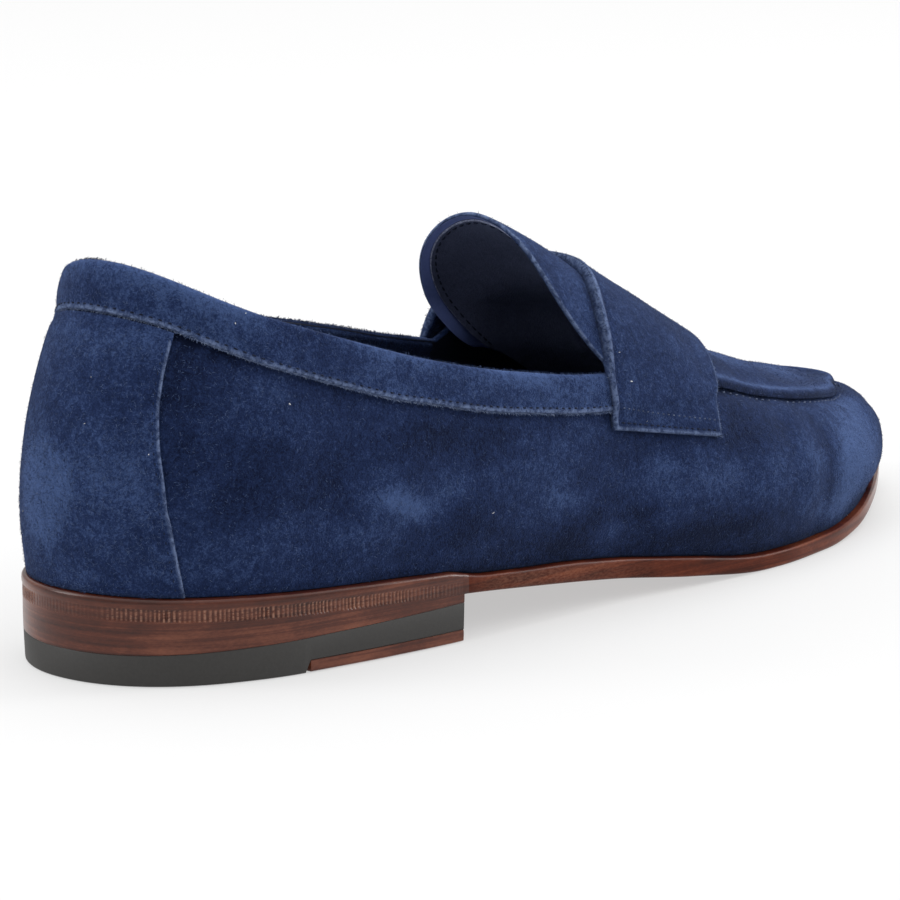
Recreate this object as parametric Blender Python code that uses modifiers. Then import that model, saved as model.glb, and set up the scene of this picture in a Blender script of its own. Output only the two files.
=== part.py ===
"""Suede loafer with a plain strap, for the right foot, as a set of separate solids.

Sizes below are in millimetres, measured in the plan frame of the last:
y runs from the back of the heel to the toe, +x is the outer (lateral) side,
z is the height over the floor. The finished part is moved so that the middle
of its box stands on the origin, and is written in metres.
"""

import math

import bmesh
import bpy
import numpy as np
from mathutils import Matrix, Vector

MM = 0.001

# Driving sizes
LENGTH = 284.0
HEEL_ROUND = 36.0
HEEL_POWER = 2.1
TOE_ROUND = 72.0
TOE_POWER = 2.2
HEEL_SPINE = 34.0
TOE_SPINE = 236.0
TOE_FALL = 0.185
FLARE_START = 70.0
FLARE_RISE = 18.0
FEATHER_MARGIN = 2.0
WALL = 1.8
GAP = 0.3
OUTSOLE_THICKNESS = 5.0
INSOLE_THICKNESS = 2.0


def table(columns, rows):
    """A short table as named columns."""
    return dict(zip(columns.split(), np.array(rows, float).T))


# Plan of the outsole: half of its edge on each side, before the ends are rounded
PLAN = table("y lateral medial", [
    (0, 31.5, -31.0),
    (20, 32.6, -31.5),
    (40, 36.4, -31.5),
    (60, 40.0, -29.5),
    (80, 42.4, -26.0),
    (105, 43.6, -21.5),
    (130, 44.5, -21.5),
    (160, 48.0, -30.0),
    (185, 49.4, -41.0),
    (205, 47.0, -46.0),
    (225, 42.0, -46.5),
    (245, 35.4, -44.5),
    (265, 28.6, -42.0),
    (284, 24.0, -39.0),
])

# Height of the feather line, where upper and outsole meet: heel lift, arch, ball, toe spring
FEATHER = table("y height", [
    (0, 19.5),
    (40, 17.8),
    (80, 15.9),
    (105, 13.7),
    (130, 11.0),
    (155, 7.7),
    (180, 5.3),
    (208, 5.3),
    (225, 6.3),
    (245, 8.9),
    (265, 11.9),
    (284, 14.4),
])

# Cross section of the last: how far the side swells, how high, how square its shoulder is,
# and how far the edge of the heel stands out again at the topline
BODY = table("y bulge belly power flare", [
    (0, 1.0, 17.0, 0.95, 3.2),
    (20, 1.6, 18.5, 1.1, 1.2),
    (34, 2.0, 19.0, 1.2, 0.3),
    (60, 2.2, 18.5, 1.42, 0.0),
    (80, 2.2, 17.0, 1.8, 0.0),
    (120, 3.0, 15.0, 2.0, 0.0),
    (150, 3.2, 14.0, 2.2, 0.0),
    (180, 3.2, 13.0, 2.42, 0.0),
    (210, 2.9, 12.0, 2.42, 0.0),
    (242, 3.4, 7.8, 2.3, 0.0),
    (270, -0.4, 6.3, 2.32, 0.0),
    (284, -1.0, 7.3, 2.45, 0.0),
])

# Height of the last over its spine: ankle, instep and toe
CROWN = table("y height", [
    (34, 114.0),
    (46, 113.0),
    (60, 107.0),
    (90, 94.0),
    (115, 86.7),
    (130, 79.6),
    (145, 70.3),
    (159, 62.5),
    (172, 54.5),
    (187, 46.6),
    (205, 41.4),
    (222, 37.6),
    (236, 33.8),
])

# Topline on the outer side, how much higher the inner side is, and the depth of the collar band
TOPLINE = table("y height medial_raise band", [
    (0, 88.5, 0.0, 10.5),
    (10, 85.0, 0.0, 10.0),
    (34, 76.0, 0.5, 11.0),
    (60, 67.5, 1.5, 11.3),
    (90, 59.0, 3.0, 9.8),
    (120, 53.3, 2.9, 8.6),
    (150, 50.5, -0.8, 8.2),
])

# Seam of the apron: share of the last's half width at which it runs
SEAM = table("y share", [
    (160, 0.84),
    (172, 0.812),
    (184, 0.775),
    (196, 0.757),
    (214, 0.75),
    (226, 0.725),
    (240, 0.69),
    (256, 0.69),
    (284, 0.74),
])

# Front end of the opening, in plan
THROAT_START = 138.0
THROAT_END = 153.0
THROAT_STATIONS = (THROAT_START, 143.0, 147.0, 150.0, 152.0, THROAT_END)

# Overlays, measured out from the upper's face
OVERLAY_LIFT = 0.4
OVERLAY_THICKNESS = 1.0
COLLAR_FRONT = 131.5
COUNTER_ANGLE = 37.3
COUNTER_FLARE = 8.5
COUNTER_MIDDLE = 56.0
COUNTER_REACH = 37.0
COUNTER_FOOT = 1.2
COUNTER_TOP_GAP = 0.02
APRON_BACK = 161.5

# Tongue: half width, depth of the rounded corner, its power and the slant of the end on each side
TONGUE_OUTER = (29.2, 11.0, 9.0, 0.0)
TONGUE_INNER = (24.0, 8.0, 5.5, 0.17)
TONGUE_END = 118.5
TONGUE_ROOT = 160.0
TONGUE_THICKNESS = 1.6

# Strap across the instep
STRAP_BACK = 127.0
STRAP_BACK_SWEEP = 16.0
STRAP_BACK_POWER = 3.3
STRAP_FRONT = 163.0
STRAP_FRONT_SWEEP = 16.0
STRAP_INNER_SHIFT = 10.5
STRAP_INNER_POWER = 4.0
STRAP_FRONT_POWER = 1.5
STRAP_END_HEIGHT = 39.9
STRAP_END_SLOPE = -0.185
STRAP_END_LIFT = 1.8
STRAP_TOP_LIFT = 2.8
STRAP_RISE = 14.0
STRAP_THICKNESS = 1.7

# Outsole: where it is flat on the floor, and its rounded edge as inset and share of the thickness
FLAT_START = 180.0
FLAT_END = 208.0
SOLE_EDGE = ((3.0, 0.0), (1.0, 0.12), (0.1, 0.4), (0.0, 0.65), (0.6, 1.0))

# Heel, which tapers from the outsole down to the floor
HEEL_BREAST = 80.5
HEEL_TOP_INSET = 0.15
HEEL_LINE_INSET = 0.35
HEEL_TAPER = 0.7
LIFT_LINE_BACK = 6.6
LIFT_LINE_RISE = 2.1
TIP_BACK = 38.0
TIP_HEIGHT = 2.6
CUTTER_WIDTH = 120.0
CUTTER_SPARE = 20.0

# Mesh density: points along and across each piece
SIDE_COLUMNS = 36
SMALLEST_STEP = 0.006
SIDE_WALL = 1.15
WALL_ROWS = 8
ARCH_ROWS = 8
COLLAR_GRID = (49, 4)
COUNTER_GRID = (17, 10)
COUNTER_SEARCH = (0.001, 0.4, 400)
APRON_GRID = (9, 7)
APRON_STEP = 0.01
TONGUE_GRID = (21, 9)
STRAP_GRID = (33, 8)
HEEL_COLUMNS = 22
JOIN_DISTANCE = 2e-6
SHARP_ANGLE = 40.0


def smooth(rows, name, y):
    """Monotone cubic through one column of a table."""
    at = rows["y"]
    values = rows[name]
    y = np.clip(np.asarray(y, float), at[0], at[-1])
    step = np.diff(at)
    rise = np.diff(values) / step
    slope = np.zeros(len(at))
    slope[0] = rise[0]
    slope[-1] = rise[-1]
    for i in range(1, len(at) - 1):
        if rise[i - 1] * rise[i] > 0:
            before = 2 * step[i] + step[i - 1]
            after = step[i] + 2 * step[i - 1]
            slope[i] = (before + after) / (before / rise[i - 1] + after / rise[i])
    i = np.clip(np.searchsorted(at, y, side="right") - 1, 0, len(step) - 1)
    s = (y - at[i]) / step[i]
    ends = (1 + 2 * s) * (1 - s) ** 2 * values[i] + s * s * (3 - 2 * s) * values[i + 1]
    bends = s * (1 - s) ** 2 * slope[i] + s * s * (s - 1) * slope[i + 1]
    return ends + bends * step[i]


def end_cap(distance, reach, power):
    """Share of the full width left at a distance from a rounded end."""
    s = np.clip(1 - distance / reach, 0, 1)
    return (1 - s ** power) ** (1 / power)


def middle(y):
    """Spine of the shoe in plan."""
    return (smooth(PLAN, "lateral", y) + smooth(PLAN, "medial", y)) / 2


def outline(t, inset=0.0):
    """Plan outline. t from 0 to 1 runs heel to toe on the outer side, 1 to 2 comes back."""
    t = np.asarray(t, float) % 2
    y = inset + (LENGTH - 2 * inset) * (1 - np.cos(np.pi * t)) / 2
    side = np.where(t <= 1, 1.0, -1.0)
    half = (smooth(PLAN, "lateral", y) - smooth(PLAN, "medial", y)) / 2 - inset
    half = half * end_cap(y - inset, HEEL_ROUND - inset, HEEL_POWER)
    half = half * end_cap(LENGTH - inset - y, TOE_ROUND - inset, TOE_POWER)
    return np.stack([middle(y) + side * half, y], -1)


def place(y, side=1, inset=FEATHER_MARGIN):
    """Outline parameter of a station on the outer (1) or inner (-1) side."""
    t = np.arccos(np.clip(1 - 2 * (np.asarray(y, float) - inset) / (LENGTH - 2 * inset), -1, 1)) / np.pi
    return np.where(np.asarray(side) > 0, t, 2 - t)


def section(t):
    """Sizes of the last's cross section that starts at this place of the feather line."""
    foot = outline(t, FEATHER_MARGIN)
    y = foot[..., 1]
    spine_y = np.clip(y, HEEL_SPINE, TOE_SPINE)
    spine = np.stack([middle(spine_y), spine_y], -1)
    reach = np.linalg.norm(foot - spine, axis=-1)
    feather = smooth(FEATHER, "height", y)
    return {
        "y": y,
        "spine": spine,
        "out": (foot - spine) / reach[..., None],
        "reach": reach,
        "full": reach + smooth(BODY, "bulge", y),
        "feather": feather,
        "belly": feather + smooth(BODY, "belly", y),
        "power": smooth(BODY, "power", y),
        "flare": smooth(BODY, "flare", y),
        "crown": smooth(CROWN, "height", spine_y),
    }


def form(t, v):
    """Outer face of the last: v is 0 at the feather line, 1 at the belly and 2 over the spine."""
    t, v = np.broadcast_arrays(np.asarray(t, float), np.asarray(v, float))
    part = section(t)
    low = np.clip(v, 0, 1)
    angle = np.clip(v - 1, 0, 1) * np.pi / 2
    swell = part["reach"] + (part["full"] - part["reach"]) * np.sin(low * np.pi / 2)
    arch = part["full"] * np.cos(angle) ** (2 / part["power"])
    reach = np.where(v < 1, swell, arch)
    rise = part["feather"] + (part["belly"] - part["feather"]) * low
    height = np.where(v < 1, rise, part["belly"] + (part["crown"] - part["belly"]) * np.sin(angle))
    reach = reach + part["flare"] * np.clip((height - FLARE_START) / FLARE_RISE, 0, 1) ** 2
    plan = part["spine"] + part["out"] * reach[..., None]
    height = height - TOE_FALL * np.clip(plan[..., 1] - TOE_SPINE, 0, None) * np.sin(angle)
    return np.concatenate([plan, height[..., None]], -1)


def v_at_height(t, height):
    part = section(t)
    low = (height - part["feather"]) / (part["belly"] - part["feather"])
    high = np.clip((height - part["belly"]) / (part["crown"] - part["belly"]), 0, 1)
    return np.where(low < 1, np.clip(low, 0, 1), 1 + np.arcsin(high) / (np.pi / 2))


def v_at_reach(t, reach):
    part = section(t)
    share = np.clip(reach / part["full"], 0, 1)
    return 1 + np.arccos(share ** (part["power"] / 2)) / (np.pi / 2)


def topline_height(t):
    y = section(t)["y"]
    inner = (np.asarray(t, float) % 2) > 1
    return smooth(TOPLINE, "height", y) + np.where(inner, smooth(TOPLINE, "medial_raise", y), 0.0)


def v_top(t):
    """Upper edge of the upper: topline behind, rounded throat, then the closed vamp."""
    y = section(t)["y"]
    side = v_at_height(t, topline_height(t))
    start = place(THROAT_START)
    opening = form(start, v_at_height(start, topline_height(start)))[0] - middle(THROAT_START)
    along = np.clip((y - THROAT_START) / (THROAT_END - THROAT_START), 0, 1)
    throat = np.maximum(side, v_at_reach(t, opening * np.sqrt(1 - along ** 2)))
    return np.where(y < THROAT_START, side, np.where(along >= 1, 2.0, throat))


def v_collar(t):
    """Lower seam of the collar band."""
    return v_at_height(t, topline_height(t) - smooth(TOPLINE, "band", section(t)["y"]))


def stations(extra=()):
    """Outline parameters from heel to toe, closer together at the ends and at extra stations."""
    even = np.linspace(0, 1, SIDE_COLUMNS + 1)
    added = [float(place(y)) for y in extra]
    kept = [t for t in even if all(abs(t - a) > SMALLEST_STEP for a in added)]
    return np.array(sorted(kept + added))


def both_sides(t):
    """Closed ring of parameters from one side's stations."""
    return np.concatenate([t, 2 - t[-2:0:-1]])


def add_object(name, bm, material):
    mesh = bpy.data.meshes.new(name)
    bm.to_mesh(mesh)
    bm.free()
    mesh.materials.append(material)
    mesh.shade_smooth()
    mesh.set_sharp_from_angle(angle=math.radians(SHARP_ANGLE))
    thing = bpy.data.objects.new(name, mesh)
    parts.objects.link(thing)
    return thing


def grid_mesh(points, ring=False):
    """Open surface through a grid of points; equal points are joined."""
    bm = bmesh.new()
    verts = [[bm.verts.new(Vector(p) * MM) for p in row] for row in points]
    count = len(verts)
    for i in range(count if ring else count - 1):
        near = verts[i]
        far = verts[(i + 1) % count]
        for j in range(len(near) - 1):
            bm.faces.new((near[j], far[j], far[j + 1], near[j + 1]))
    bmesh.ops.remove_doubles(bm, verts=bm.verts, dist=JOIN_DISTANCE)
    bm.normal_update()
    return bm


def shell(name, points, thickness, material, lift=None, ring=False, inward=False):
    """A sheet of the given thickness on a grid of points, raised along the surface normals."""
    bm = grid_mesh(points, ring)
    if lift is not None:
        moved = [(v, v.normal.copy(), lift(v.co / MM)) for v in bm.verts]
        for v, normal, height in moved:
            v.co += normal * height * MM
    thing = add_object(name, bm, material)
    solid = thing.modifiers.new("thickness", "SOLIDIFY")
    solid.thickness = thickness * MM
    solid.offset = -1.0 if inward else 1.0
    solid.use_even_offset = True
    return thing


def slab(name, rings, material):
    """Solid between stacked rings; each ring has the outer side's points, then the inner side's."""
    bm = bmesh.new()
    loops = []
    for outer, inner in rings:
        ring = np.concatenate([outer, inner[::-1]])
        loops.append([bm.verts.new(Vector(p) * MM) for p in ring])
    count = len(loops[0])
    half = count // 2
    for low, high in zip(loops, loops[1:]):
        for i in range(count):
            k = (i + 1) % count
            bm.faces.new((low[i], low[k], high[k], high[i]))
    for loop, up in ((loops[0], False), (loops[-1], True)):
        for i in range(half - 1):
            face = (loop[i], loop[i + 1], loop[count - 2 - i], loop[count - 1 - i])
            bm.faces.new(face if up else face[::-1])
    bmesh.ops.remove_doubles(bm, verts=bm.verts, dist=JOIN_DISTANCE)
    bmesh.ops.recalc_face_normals(bm, faces=bm.faces)
    return add_object(name, bm, material)


def ring_at(t, inset, height):
    """One ring of a slab: an inset outline at a height that depends on the station."""
    sides = []
    for side in (t, 2 - t):
        plan = outline(side, inset)
        sides.append(np.concatenate([plan, height(plan[:, 1])[:, None]], -1))
    return sides


def outsole_top(y):
    return smooth(FEATHER, "height", y) - GAP


def outsole_bottom(y):
    return outsole_top(y) - OUTSOLE_THICKNESS


def material(name, colour, roughness, coat=0.0):
    made = bpy.data.materials.new(name)
    made.use_nodes = True
    shader = made.node_tree.nodes["Principled BSDF"]
    shader.inputs["Base Color"].default_value = (*colour, 1.0)
    shader.inputs["Roughness"].default_value = roughness
    shader.inputs["Metallic"].default_value = 0.0
    shader.inputs["Coat Weight"].default_value = coat
    return made


def build_upper(suede):
    t = both_sides(stations((*THROAT_STATIONS, TOE_SPINE)))
    wall = np.broadcast_to(np.linspace(0, SIDE_WALL, WALL_ROWS), (len(t), WALL_ROWS))
    share = np.linspace(0, 1, ARCH_ROWS + 1)[1:]
    arch = SIDE_WALL + (v_top(t) - SIDE_WALL)[:, None] * share
    points = form(t[:, None], np.concatenate([wall, arch], 1))
    return shell("upper", points, WALL, suede, ring=True, inward=True)


def build_collar(suede):
    edge = float(place(COLLAR_FRONT))
    t = np.linspace(-edge, edge, COLLAR_GRID[0])
    share = np.linspace(0, 1, COLLAR_GRID[1])
    low = v_collar(t)
    points = form(t[:, None], low[:, None] + (v_top(t) - low)[:, None] * share)
    return shell("collar_band", points, OVERLAY_THICKNESS, suede, lift=lambda p: OVERLAY_LIFT)


def counter_edge(height):
    """Outline parameter of the counter's front seam at a height."""
    t = np.linspace(*COUNTER_SEARCH)
    out = section(t)["out"]
    angle = np.degrees(np.arctan2(out[:, 0], -out[:, 1]))
    wanted = COUNTER_ANGLE + COUNTER_FLARE * ((height - COUNTER_MIDDLE) / COUNTER_REACH) ** 2
    return np.interp(wanted, angle, t)


def build_counter(suede):
    share = np.linspace(0, 1, COUNTER_GRID[1])
    foot = smooth(FEATHER, "height", 0.0) + COUNTER_FOOT
    top = smooth(TOPLINE, "height", 0.0) - smooth(TOPLINE, "band", 0.0) - COUNTER_FOOT
    edge = counter_edge(foot + (top - foot) * share)
    across = np.linspace(-1, 1, COUNTER_GRID[0])
    t = across[:, None] * edge
    low = v_at_height(t, foot)
    high = v_collar(t) - COUNTER_TOP_GAP
    points = form(t, low + (high - low) * share)
    return shell("heel_counter", points, OVERLAY_THICKNESS, suede, lift=lambda p: OVERLAY_LIFT)


def build_apron(suede):
    back = float(place(APRON_BACK))
    pole = float(place(TOE_SPINE))
    even = stations()
    t = np.concatenate([np.linspace(back, pole, APRON_GRID[0]), even[even > pole + APRON_STEP]])
    t = np.concatenate([t, 2 - t[-2::-1]])
    share = np.linspace(0, 1, APRON_GRID[1])
    part = section(t)
    low = v_at_reach(t, part["full"] * smooth(SEAM, "share", part["y"]))
    points = form(t[:, None], low[:, None] + (2 - low)[:, None] * share)
    return shell("apron", points, OVERLAY_THICKNESS, suede, lift=lambda p: OVERLAY_LIFT)


def build_tongue(suede):
    share = np.linspace(-1, 1, TONGUE_GRID[0])
    width, corner, power, slant = [np.where(share > 0, a, b) for a, b in zip(TONGUE_OUTER, TONGUE_INNER)]
    across = share * width
    end = TONGUE_END + corner * np.abs(share) ** power + slant * np.abs(across)
    y = end[:, None] + (TONGUE_ROOT - end)[:, None] * np.linspace(0, 1, TONGUE_GRID[1])
    t = place(y, np.where(across >= 0, 1, -1)[:, None])
    points = form(t, v_at_reach(t, np.abs(across)[:, None]))
    return shell("tongue", points, TONGUE_THICKNESS, suede, lift=lambda p: OVERLAY_LIFT)


def strap_lift(point):
    """The strap's ends lie on the quarter and its middle over the tongue."""
    share = np.clip((point.z - STRAP_END_HEIGHT) / STRAP_RISE, 0, 1)
    return STRAP_END_LIFT + (STRAP_TOP_LIFT - STRAP_END_LIFT) * share * share * (3 - 2 * share)


def build_strap(suede):
    along = np.linspace(-1, 1, STRAP_GRID[0])[:, None]
    rise = np.sin((1 - np.abs(along)) * np.pi / 2)
    shift = np.where(along < 0, STRAP_INNER_SHIFT, 0.0) * (1 - rise ** STRAP_INNER_POWER)
    back = STRAP_BACK + STRAP_BACK_SWEEP * rise ** STRAP_BACK_POWER + shift
    front = STRAP_FRONT + STRAP_FRONT_SWEEP * rise ** STRAP_FRONT_POWER + shift
    across = np.linspace(0, 1, STRAP_GRID[1])[None, :]
    y = back + (front - back) * across
    t = place(y, np.where(along >= 0, 1, -1))
    end_y = STRAP_BACK + (STRAP_FRONT - STRAP_BACK) * across
    end = v_at_height(t, STRAP_END_HEIGHT + STRAP_END_SLOPE * (end_y - STRAP_BACK))
    points = form(t, end + (2 - end) * (1 - np.abs(along)))
    return shell("strap", points, STRAP_THICKNESS, suede, lift=strap_lift)


def build_insole(lining):
    t = stations()
    inset = FEATHER_MARGIN + WALL + 2 * GAP
    low = ring_at(t, inset, lambda y: smooth(FEATHER, "height", y) + GAP)
    high = ring_at(t, inset, lambda y: smooth(FEATHER, "height", y) + GAP + INSOLE_THICKNESS)
    return slab("insole", [low, high], lining)


def build_outsole(leather):
    t = stations((HEEL_BREAST, FLAT_START, FLAT_END))
    rings = []
    for inset, share in SOLE_EDGE:
        rings.append(ring_at(t, inset, lambda y, s=share: outsole_bottom(y) + OUTSOLE_THICKNESS * s))
    return slab("outsole", rings, leather)


def heel_rings(start, stop, bottom, top, taper):
    """Rings of one heel layer between two stations."""
    first = float(place(start, inset=0.0)) if start > 0 else 0.0
    t = np.linspace(first, float(place(stop, inset=0.0)), HEEL_COLUMNS)
    return [ring_at(t, inset, height) for inset, height in zip(taper, (bottom, top))]


def lift_line(y):
    """Height of the joint between the leather lift and the rubber top piece."""
    return LIFT_LINE_BACK + LIFT_LINE_RISE * y / HEEL_BREAST


def build_heel(leather, rubber):
    taper = (HEEL_LINE_INSET, HEEL_TOP_INSET)
    wedge = heel_rings(0, HEEL_BREAST, lift_line, lambda y: outsole_bottom(y) - GAP, taper)
    slab("heel_lift", wedge, leather)
    taper = (HEEL_TAPER, HEEL_LINE_INSET)
    whole = heel_rings(0, HEEL_BREAST, lambda y: 0 * y, lambda y: lift_line(y) - GAP, taper)
    top_piece = slab("heel_top_piece", whole, rubber)
    notch = heel_cutter()
    cut = top_piece.modifiers.new("seat_of_tip", "BOOLEAN")
    cut.operation = "DIFFERENCE"
    cut.object = notch
    tip_top = TIP_HEIGHT - GAP
    taper = (HEEL_TAPER, HEEL_TAPER)
    tip = heel_rings(TIP_BACK + GAP, HEEL_BREAST, lambda y: 0 * y, lambda y: 0 * y + tip_top, taper)
    slab("heel_tip", tip, leather)


def heel_cutter():
    """Box that takes the front of the rubber away for the leather tip."""
    bm = bmesh.new()
    bmesh.ops.create_cube(bm, size=1.0)
    length = HEEL_BREAST - TIP_BACK + CUTTER_SPARE
    size = Matrix.Diagonal((CUTTER_WIDTH * MM, length * MM, 2 * TIP_HEIGHT * MM, 1.0))
    centre = Matrix.Translation(Vector((0.0, TIP_BACK + length / 2, 0.0)) * MM)
    bmesh.ops.transform(bm, matrix=centre @ size, verts=bm.verts)
    mesh = bpy.data.meshes.new("tip_seat_cutter")
    bm.to_mesh(mesh)
    bm.free()
    thing = bpy.data.objects.new("tip_seat_cutter", mesh)
    cutters.objects.link(thing)
    thing.hide_render = True
    thing.display_type = "WIRE"
    return thing


def stand_on_origin():
    """Moves everything so that the middle of the box stands on the origin."""
    graph = bpy.context.evaluated_depsgraph_get()
    corners = []
    for thing in parts.objects:
        corners += [Vector(c) for c in thing.evaluated_get(graph).bound_box]
    low = np.min(np.array(corners), axis=0)
    high = np.max(np.array(corners), axis=0)
    shift = Matrix.Translation((-(low[0] + high[0]) / 2, -(low[1] + high[1]) / 2, -low[2]))
    for thing in list(parts.objects) + list(cutters.objects):
        thing.data.transform(shift)


for old in list(bpy.data.objects):
    bpy.data.objects.remove(old, do_unlink=True)
parts = bpy.data.collections.new("suede_loafer")
cutters = bpy.data.collections.new("cutters")
bpy.context.scene.collection.children.link(parts)
bpy.context.scene.collection.children.link(cutters)

navy_suede = material("navy_suede", (0.028, 0.045, 0.115), 0.95)
navy_lining = material("navy_lining", (0.012, 0.016, 0.04), 0.55)
brown_leather = material("brown_sole_leather", (0.115, 0.034, 0.016), 0.3, 0.4)
black_rubber = material("black_rubber", (0.03, 0.03, 0.028), 0.6)

build_upper(navy_suede)
build_collar(navy_suede)
build_counter(navy_suede)
build_apron(navy_suede)
build_tongue(navy_suede)
build_strap(navy_suede)
build_insole(navy_lining)
build_outsole(brown_leather)
build_heel(brown_leather, black_rubber)
stand_on_origin()
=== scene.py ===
"""Looks of a navy suede loafer for the right foot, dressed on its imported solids.

Sizes are in millimetres in the plan frame of the last: y runs from the back of the
heel to the toe, +x is the outer side, z is the height over the floor.
"""

import math

import bpy
import numpy as np
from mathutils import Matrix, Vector


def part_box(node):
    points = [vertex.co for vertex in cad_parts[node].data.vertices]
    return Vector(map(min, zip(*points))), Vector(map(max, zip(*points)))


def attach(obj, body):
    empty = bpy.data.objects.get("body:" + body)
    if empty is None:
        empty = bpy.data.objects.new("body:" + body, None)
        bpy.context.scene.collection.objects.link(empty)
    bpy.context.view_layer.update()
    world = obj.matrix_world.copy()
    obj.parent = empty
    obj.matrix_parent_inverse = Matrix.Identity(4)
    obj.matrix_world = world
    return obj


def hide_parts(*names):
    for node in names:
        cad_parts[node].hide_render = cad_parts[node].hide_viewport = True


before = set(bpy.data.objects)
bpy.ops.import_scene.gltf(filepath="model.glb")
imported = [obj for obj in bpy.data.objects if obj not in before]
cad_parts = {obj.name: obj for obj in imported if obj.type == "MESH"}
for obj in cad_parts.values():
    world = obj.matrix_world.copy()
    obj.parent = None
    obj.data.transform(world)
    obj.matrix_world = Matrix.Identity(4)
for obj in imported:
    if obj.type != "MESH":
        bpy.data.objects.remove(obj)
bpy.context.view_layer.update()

MM = 0.001

# Sizes of the last and of the sole
LENGTH = 284.0
HEEL_ROUND = 36.0
HEEL_POWER = 2.1
TOE_ROUND = 72.0
TOE_POWER = 2.2
HEEL_SPINE = 34.0
TOE_SPINE = 236.0
TOE_FALL = 0.185
FLARE_START = 70.0
FLARE_RISE = 18.0
FEATHER_MARGIN = 2.0
WALL = 1.8
GAP = 0.3
OUTSOLE_THICKNESS = 5.0
INSOLE_THICKNESS = 2.0


def table(columns, rows):
    """A short table as named columns."""
    return dict(zip(columns.split(), np.array(rows, float).T))


PLAN = table("y lateral medial", [
    (0, 31.5, -31.0),
    (20, 32.6, -31.5),
    (40, 36.4, -31.5),
    (60, 40.0, -29.5),
    (80, 42.4, -26.0),
    (105, 43.6, -21.5),
    (130, 44.5, -21.5),
    (160, 48.0, -30.0),
    (185, 49.4, -41.0),
    (205, 47.0, -46.0),
    (225, 42.0, -46.5),
    (245, 35.4, -44.5),
    (265, 28.6, -42.0),
    (284, 24.0, -39.0),
])

FEATHER = table("y height", [
    (0, 19.5),
    (40, 17.8),
    (80, 15.9),
    (105, 13.7),
    (130, 11.0),
    (155, 7.7),
    (180, 5.3),
    (208, 5.3),
    (225, 6.3),
    (245, 8.9),
    (265, 11.9),
    (284, 14.4),
])

BODY = table("y bulge belly power flare", [
    (0, 1.0, 17.0, 0.95, 3.2),
    (20, 1.6, 18.5, 1.1, 1.2),
    (34, 2.0, 19.0, 1.2, 0.3),
    (60, 2.2, 18.5, 1.42, 0.0),
    (80, 2.2, 17.0, 1.8, 0.0),
    (120, 3.0, 15.0, 2.0, 0.0),
    (150, 3.2, 14.0, 2.2, 0.0),
    (180, 3.2, 13.0, 2.42, 0.0),
    (210, 2.9, 12.0, 2.42, 0.0),
    (242, 3.4, 7.8, 2.3, 0.0),
    (270, -0.4, 6.3, 2.32, 0.0),
    (284, -1.0, 7.3, 2.45, 0.0),
])

CROWN = table("y height", [
    (34, 114.0),
    (46, 113.0),
    (60, 107.0),
    (90, 94.0),
    (115, 86.7),
    (130, 79.6),
    (145, 70.3),
    (159, 62.5),
    (172, 54.5),
    (187, 46.6),
    (205, 41.4),
    (222, 37.6),
    (236, 33.8),
])

TOPLINE = table("y height medial_raise band", [
    (0, 88.5, 0.0, 10.5),
    (10, 85.0, 0.0, 10.0),
    (34, 76.0, 0.5, 11.0),
    (60, 66.95, 2.2, 10.8),
    (72, 63.2, 3.2, 9.9),
    (90, 58.7, 4.2, 9.5),
    (105, 55.8, 3.7, 9.0),
    (120, 53.3, 2.5, 8.6),
    (150, 50.5, -0.8, 8.2),
])

SEAM = table("y share", [
    (160, 0.80),
    (172, 0.776),
    (184, 0.742),
    (194, 0.735),
    (205, 0.74),
    (217, 0.738),
    (230, 0.712),
    (240, 0.69),
    (256, 0.692),
    (270, 0.73),
    (284, 0.785),
])

# Front seam of the counter: height on the heel's back and angle round the heel in degrees
COUNTER_SEAM = table("y angle", [
    (19, 45.6),
    (37, 43.1),
    (55, 40.6),
    (61, 39.8),
    (65, 38.2),
    (68, 36.3),
    (70.2, 35.9),
    (72.5, 37.0),
    (77, 42.2),
])

THROAT_START = 138.0
THROAT_END = 153.0
COLLAR_FRONT = 131.5
COLLAR_INNER_FRONT = 137.5
COUNTER_FOOT = 1.2
APRON_BACK = 161.5
TONGUE_OUTER = (29.2, 11.0, 9.0, 0.0)
TONGUE_INNER = (30.0, 28.0, 5.5, 0.17)
TONGUE_END = 118.5
TONGUE_ROOT = 160.0
LINING_INSET = 1.9
STRAP_BACK = 128.2
STRAP_BACK_SWEEP = 14.8
STRAP_BACK_POWER = 3.3
STRAP_FRONT = 163.0
STRAP_FRONT_SWEEP = 16.0
STRAP_INNER_SHIFT = 10.5
STRAP_INNER_POWER = 4.0
STRAP_FRONT_POWER = 1.5
STRAP_END_HEIGHT = 39.9
STRAP_END_SLOPE = -0.185
HEEL_BREAST = 80.5
LIFT_LINE_BACK = 6.6
LIFT_LINE_RISE = 2.1
TIP_BACK = 38.0
TIP_HEIGHT = 2.6


# Small helpers


def ramp(value, start, run):
    """0 before a start, 1 after a run, straight between."""
    return np.clip((value - start) / run, 0, 1)


def fall(value, end, run):
    """1 until a run before an end, 0 after the end, straight between."""
    return np.clip((end - value) / run, 0, 1)


def ease(share):
    """A share from 0 to 1 with a soft start and stop."""
    return share * share * (3 - 2 * share)


def bell(distance, width):
    """A soft bump that is 1 at its middle."""
    return np.exp(-((distance / width) ** 2))


def soft_row(away, strength, centre, width):
    """A soft band at a distance from a line."""
    return strength * bell(away - centre, width)


def unit(vectors):
    """The same directions with length 1."""
    return vectors / np.linalg.norm(vectors, axis=-1, keepdims=True)


def run_of(line):
    """Distance along a line of points."""
    return np.concatenate([[0], np.cumsum(np.linalg.norm(np.diff(line, axis=0), axis=1))])


def row_runs(grid):
    """Distance along each row of a grid of points."""
    steps = np.cumsum(np.linalg.norm(np.diff(grid, axis=1), axis=2), 1)
    return np.concatenate([np.zeros((grid.shape[0], 1)), steps], 1)


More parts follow.
